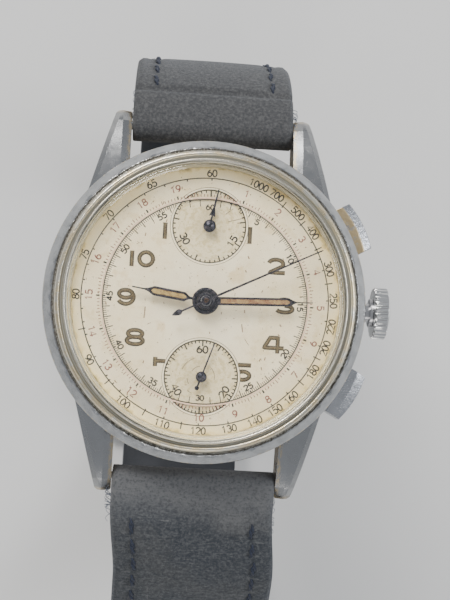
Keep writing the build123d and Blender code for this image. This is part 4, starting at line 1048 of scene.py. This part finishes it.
def print_wear():
    """Rust flecks on the dial and rub marks left by hands and tools."""
    flecks = []
    for _ in range(280):
        radius = 13.6 * math.sqrt(DICE.random())
        x, y = clock(radius, DICE.uniform(0, 360))
        lean = DICE.uniform(-0.5, 0.5)
        length = DICE.choice((0.04, 0.07, 0.12, 0.3)) * DICE.uniform(0.5, 1.2)
        flecks.append([(x, y), (x + lean * length, y + length)])
    flecks += [[(-6.62, -0.95), (-6.68, -2.25)], [(4.6, -3.9), (5.1, -4.6)],
               [(4.2, -2.3), (4.35, -3.2)], [(-6.3, -2.9), (-5.9, -2.7)],
               [(8.3, -3.2), (8.5, -3.4)], [(6.9, 1.9), (7.0, 2.1)]]
    small = clear_of_subs(flecks)
    printed("dial_flecks", [(small[::2], 0.06), (small[1::2], 0.11)], 0.001, M["rust_fleck"])
    rubs = [circle(1.5, FOOT, 42, 98), circle(1.56, FOOT, 238, 262), circle(2.1, FOOT, 208, 222),
            circle(2.25, FOOT, 290, 316), circle(1.2, FOOT, 300, 352), circle(2.2, FOOT, 318, 338)]
    marks = [(2.10, 0.65, 4.0, 1.22), (1.73, 1.45, 2.55, 2.14), (3.1, 0.55, 3.9, 0.66)]
    for x0, y0, x1, y1 in marks:
        rubs.append([(TOP[0] + x0, TOP[1] + y0), (TOP[0] + x1, TOP[1] + y1)])
    printed("rub_marks", [(rubs, 0.07)], SUB_FLOOR + 0.002, M["faint_ink"])


def print_dial():
    print_seconds_track()
    print_telemeter()
    print_tachymeter()
    print_sub_dial("minute_counter_scale", TOP, 45, (("15", 120), ("30", 240)), 5)
    print_sub_dial("small_seconds_scale", FOOT, 60, (("60", 0), ("20", 120), ("40", 240)), 5)
    print_hours()
    print_wear()


# ------------------------------------------------------------------ strap
T_LUG = 3.4
T_END = 2.1
ROW_IN = 2.35             # stitching from the strap's edge
CREASE_IN = 1.25          # pressed line between the stitching and the edge
FOLD_AT = 4.3             # where the turned-back leather ends
W_LUG = 18.5
W_END = 16.0
SHORT_KNEE = -6.0         # height below the dial where each strap starts to taper
LONG_KNEE = -13.0
TAPER = 0.095
STITCH_R = 0.27
STITCH_SINK = 0.13
FLAT_RUN = 20.1           # where both straps lie flat under the keepers


def walk(start, heading, moves, step=0.3):
    """Follow tangent moves (radius, degrees) or (0, length); returns (y, z, heading) samples."""
    y, z = start
    samples = [(y, z, heading)]
    for radius, amount in moves:
        length = abs(math.radians(amount)) * radius if radius else amount
        steps = max(3, round(length / step))
        for _ in range(steps):
            turn = math.radians(amount / steps) if radius else 0.0
            chord = 2 * radius * math.sin(abs(turn) / 2) if radius else amount / steps
            y += chord * math.cos(heading + turn / 2)
            z += chord * math.sin(heading + turn / 2)
            heading += turn
            samples.append((y, z, heading))
    return samples


def short_path():
    moves = [(12.0, -76.0), (0, 11.906), (18.0, -90.0), (0, FLAT_RUN)]
    return walk((BAR_Y, BAR_Z), math.radians(-14), moves)


def long_path():
    moves = [(22.0, -85.0), (16.57, -50.0), (39.2, -40.0), (0, FLAT_RUN), (20.2, -40.0)]
    mirrored = walk((BAR_Y, BAR_Z), math.radians(-5), moves)
    return [(-y, z, math.pi - heading) for y, z, heading in mirrored]


def run_lengths(samples):
    run = [0.0]
    for a, b in zip(samples, samples[1:]):
        run.append(run[-1] + math.dist(a[:2], b[:2]))
    return run


def strap_width(z, out_side):
    """Width of the strap at a height: full past the lugs, then tapering to the fold."""
    knee = SHORT_KNEE if out_side > 0 else LONG_KNEE
    return max(W_END, W_LUG - TAPER * max(0.0, knee - z))


def strap_half(at):
    return (T_END + (T_LUG - T_END) * max(0.0, 1 - at / 30.0) ** 1.5) / 2


def section(half_width, half, at, end, seam_depth):
    """Strap section as (across, out) points: flat lining, crowned face, creased and rounded edges."""
    face = []
    fold = 1 / (1 + math.exp(min(40.0, (at - FOLD_AT) * 9.0)))
    fade = min(1.0, max(0.0, (end - at) / 6.0))
    seam = seam_depth * math.exp(-((at - FOLD_AT) / 0.24) ** 2)
    for i in range(41):
        u = -1 + 2 * i / 40
        x = u * half_width
        crown = 0.16 * (1 - u * u) * (1 - fold)
        edge = max(0.0, abs(x) - (half_width - 0.45)) / 0.45
        drop = 0.30 * (1 - math.sqrt(max(0.0, 1 - min(1.0, edge) ** 2)))
        row = math.exp(-((abs(x) - (half_width - ROW_IN)) / 0.42) ** 2)
        gutter = 0.16 * row * (1 - fold) * fade
        crease = 0.12 * math.exp(-((abs(x) - (half_width - CREASE_IN)) / 0.22) ** 2)
        face.append((x, half - 0.16 - drop - gutter + crown - seam - crease * (1 - fold)))
    back = []
    for i in range(11):
        u = 1 - 2 * i / 10
        back.append((u * (half_width - 0.12), -half + 0.03 + (0.12 if abs(u) > 0.99 else 0.0)))
    return face + back


def strap_mesh(name, samples, node, out_side, tip_round):
    """Lofted strap with a rolled end at the lugs and a cut or rounded free end."""
    run = run_lengths(samples)
    end = run[-1]
    rings = []
    for (y, z, heading), at in zip(samples, run):
        half = strap_half(at)
        wide = strap_width(z, out_side) / 2
        if tip_round:
            left = end + 1.0 - at
            if left < 8.0:
                wide = min(wide, math.sqrt(max(0.0, 64 - (8.0 - left) ** 2)) + 0.05)
        rings.append((y, z, heading, section(wide, half, at, end, 0.0 if tip_round else 0.34)))
    points = []
    size = len(rings[0][3])
    for y, z, heading, ring in rings:
        ny = -math.sin(heading) * out_side
        nz = math.cos(heading) * out_side
        drift = sway(run[len(points) // size]) if tip_round else 0.0
        for x, v in ring:
            points.append((x + drift, y + ny * v, z + nz * v))
    faces = []
    for i in range(len(rings) - 1):
        for k in range(size):
            n = (k + 1) % size
            faces.append((i * size + k, i * size + n, (i + 1) * size + n, (i + 1) * size + k))
    cap_loops(points, faces, rings, size, out_side)
    obj = mesh_object(name, points, faces, "case", M["suede"])
    obj.data.materials.append(M["lining"])
    fix_normals(obj)
    line_back(obj)
    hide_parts(node)


def cap_loops(points, faces, rings, size, out_side):
    """Rolled nose at the lug bar and a soft end at the tip, each closed to a line."""
    nose = T_LUG / 2 if out_side > 0 else 1.2
    for index, direction, reach in ((0, -1, nose), (len(rings) - 1, 1, 0.9)):
        y, z, heading, ring = rings[index]
        previous = list(range(index * size, index * size + size))
        for step in range(1, 6):
            a = math.radians(18 * step)
            y2 = y + direction * reach * math.sin(a) * math.cos(heading)
            z2 = z + direction * reach * math.sin(a) * math.sin(heading)
            shrink = max(0.02, math.cos(a))
            ny = -math.sin(heading) * out_side
            nz = math.cos(heading) * out_side
            start = len(points)
            for x, v in ring:
                points.append((x * (1 - 0.003 * step), y2 + ny * v * shrink, z2 + nz * v * shrink))
            current = list(range(start, start + size))
            for k in range(size):
                n = (k + 1) % size
                quad = (previous[k], previous[n], current[n], current[k])
                faces.append(quad if direction > 0 else quad[::-1])
            previous = current
        face_count = 41
        for k in range(face_count - 1):
            a = previous[k]
            b = previous[k + 1]
            back_a = previous[face_count + 10 - round(k * 10 / 40)]
            back_b = previous[face_count + 10 - round((k + 1) * 10 / 40)]
            loop = [a, b, back_b, back_a] if back_a != back_b else [a, b, back_b]
            faces.append(tuple(loop))


def line_back(obj):
    """Lining material on the faces that look into the loop."""
    centre = Vector((0, -3.0 * MM, 26.0 * MM))
    for polygon in obj.data.polygons:
        toward = centre - polygon.center
        if polygon.normal.dot(toward.normalized()) > 0.55:
            polygon.material_index = 1


def sway(at):
    """How far the long strap drifts towards 3 o'clock between the lugs and the fold."""
    rise = min(1.0, max(0.0, (at - 3.0) / 9.0))
    fall = min(1.0, max(0.0, (62.0 - at) / 30.0))
    return 0.75 * rise * rise * (3 - 2 * rise) * fall * fall * (3 - 2 * fall)


def surface_point(samples, run, at, x, lift, out_side):
    """Point on the strap's face and its along and out directions."""
    i = max(k for k in range(len(run) - 1) if run[k] <= at + 1e-9)
    share = (at - run[i]) / (run[i + 1] - run[i])
    y, z, heading = [a + (b - a) * share for a, b in zip(samples[i], samples[i + 1])]
    half = strap_half(at)
    along = Vector((0, math.cos(heading), math.sin(heading)))
    out = Vector((0, -math.sin(heading), math.cos(heading))) * out_side
    drift = sway(at) if out_side < 0 else 0.0
    return Vector((x + drift, y, z)) + out * (half + lift), along, out


def stitch_points(points, faces, middle, along, out, slant, length, radius):
    """One stitch: two plies twisted round each other, sinking at both ends."""
    side = along.cross(out).normalized()
    along = (along + side * slant).normalized()
    side = along.cross(out).normalized()
    for ply in (0, 1):
        first = len(points)
        count = 9
        for i in range(count + 1):
            t = i / count
            arch = math.sin(math.pi * t) ** 0.6
            twist = math.pi * (2.2 * t + ply)
            core = middle + along * ((t - 0.5) * length) + out * (arch * 0.24 - 0.24)
            core += (side * math.cos(twist) + out * math.sin(twist)) * radius * 0.45
            thin = radius * (0.4 + 0.6 * arch) * 0.7
            for k in range(6):
                a = math.pi * k / 3
                points.append(core + (side * math.cos(a) + out * math.sin(a)) * thin)
        for i in range(count):
            for k in range(6):
                n = (k + 1) % 6
                a = first + i * 6
                faces.append((a + k, a + n, a + 6 + n, a + 6 + k))
        faces.append(tuple(first + k for k in range(5, -1, -1)))
        faces.append(tuple(first + count * 6 + k for k in range(6)))


def half_width_at(samples, run, at, out_side):
    """Half the strap's width at a distance along it."""
    i = max(k for k in range(len(run) - 1) if run[k] <= at)
    return strap_width(samples[i][1], out_side) / 2


def stitch_rows(name, samples, start, stop, pitch, out_side):
    """Two rows of stitching along a strap."""
    run = run_lengths(samples)
    points = []
    faces = []
    for side in (LEFT, RIGHT):
        at = start
        while at < stop:
            x = side * (half_width_at(samples, run, at, out_side) - ROW_IN) + DICE.uniform(-0.09, 0.09)
            spot = surface_point(samples, run, at, x, -STITCH_SINK, out_side)
            slant = 0.10 * side + DICE.uniform(-0.05, 0.05)
            stitch_points(points, faces, *spot, slant, pitch * DICE.uniform(0.84, 0.93), STITCH_R)
            at += pitch * DICE.uniform(0.96, 1.04)
    obj = mesh_object(name, points, faces, "case", M["thread"])


def fray(name, samples, spots, out_side):
    """Loose fibres and thread loops on the strap's edges."""
    curve = bpy.data.curves.new(name, "CURVE")
    curve.dimensions = "3D"
    curve.bevel_depth = 0.04 * MM
    curve.bevel_resolution = 1
    run = run_lengths(samples)
    for at, side, count, reach in spots:
        for _ in range(count):
            here = at + DICE.uniform(-1.3, 1.3)
            edge = side * (half_width_at(samples, run, here, out_side) - 0.25)
            lift = -0.9 + DICE.uniform(-0.5, 0.4)
            root, along, out = surface_point(samples, run, here, edge, lift, out_side)
            across = Vector((side, 0, 0))
            spline = curve.splines.new("NURBS")
            spline.points.add(4)
            swing = DICE.uniform(-1, 1)
            for k in range(5):
                t = k / 4
                bulge = math.sin(math.pi * t * 0.8) * reach * DICE.uniform(0.7, 1.1)
                p = root + across * bulge + along * (swing * t * 1.3) + out * DICE.uniform(-0.15, 0.25)
                spline.points[k].co = (*place(p), 1)
                spline.points[k].radius = 1 - 0.5 * t
            spline.order_u = 3
            spline.use_endpoint_u = True
    obj = new_object(name, curve)
    curve.materials.append(M["fluff"])
    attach(obj, "case")


def make_strap():
    short = short_path()
    long = long_path()
    strap_mesh("strap_short_suede", short, "strap_short", 1, False)
    strap_mesh("strap_long_suede", long, "strap_long", -1, True)
    short_end = run_lengths(short)[-1]
    stitch_rows("stitching_short", short, 5.7, short_end - 5.0, 2.3, 1)
    stitch_rows("stitching_long", long, 5.4, run_lengths(long)[-1] - 8.0, 2.4, -1)
    fray("fray_top", short, ((1.6, RIGHT, 14, 0.9), (2.4, LEFT, 8, 0.4)), 1)
    fray("fray_foot", long, ((3.2, LEFT, 16, 0.9), (3.6, RIGHT, 8, 0.5)), -1)
    for node, body in (("fixed_keeper", "case"), ("free_keeper", "keeper")):
        softened(node, body, M["suede"], 0.28, 3)


# ------------------------------------------------------------------ stage, light, camera
def make_stage():
    mesh = bpy.data.meshes.new("floor")
    half = 1.5
    corners = [(-half, -half, 0), (half, -half, 0), (half, half, 0), (-half, half, 0)]
    mesh.from_pydata(corners, [], [(0, 1, 2, 3)])
    obj = new_object("floor", mesh)
    obj.location.z = -0.0002
    mesh.materials.append(M["floor"])


def area_light(name, position, size, power, colour):
    """Soft box aimed at the dial."""
    data = bpy.data.lights.new(name, "AREA")
    data.shape = "RECTANGLE"
    data.size, data.size_y = size
    data.energy = power
    data.color = colour
    obj = new_object(name, data)
    obj.location = position
    aim = Vector((0, 0, DIAL_HEIGHT * MM)) - Vector(position)
    obj.rotation_euler = aim.to_track_quat("-Z", "Y").to_euler()


def make_light():
    world = bpy.data.worlds.new("studio")
    bpy.context.scene.world = world
    world.use_nodes = True
    background = world.node_tree.nodes["Background"]
    background.inputs[0].default_value = (0.80, 0.83, 0.88, 1)
    background.inputs[1].default_value = 0.58
    area_light("key", (-0.30, 0.66, 0.60), (0.42, 0.32), 8.6, (1.0, 0.98, 0.95))
    area_light("fill", (0.62, 0.10, 0.40), (0.35, 0.30), 2.6, (0.93, 0.96, 1.0))
    area_light("low", (-0.1, -0.6, 0.30), (0.5, 0.2), 1.2, (1.0, 0.97, 0.93))


def make_camera():
    """Camera above the dial, a little towards 6 and 9 o'clock."""
    data = bpy.data.cameras.new("camera")
    data.sensor_fit = "HORIZONTAL"
    data.sensor_width = 36.0
    data.lens = 121.8
    data.clip_start = 0.01
    data.clip_end = 10.0
    obj = new_object("camera", data)
    obj.location = place((-8.805, -10.008, 169.477))
    obj.rotation_euler = [math.radians(a) for a in (3.264, -3.905, 3.157)]
    bpy.context.scene.camera = obj


paint_inner_pieces()
finish_metal_pieces()
finish_hands()
make_bezel()
make_crystal()
print_dial()
make_strap()
make_stage()
make_light()
make_camera()
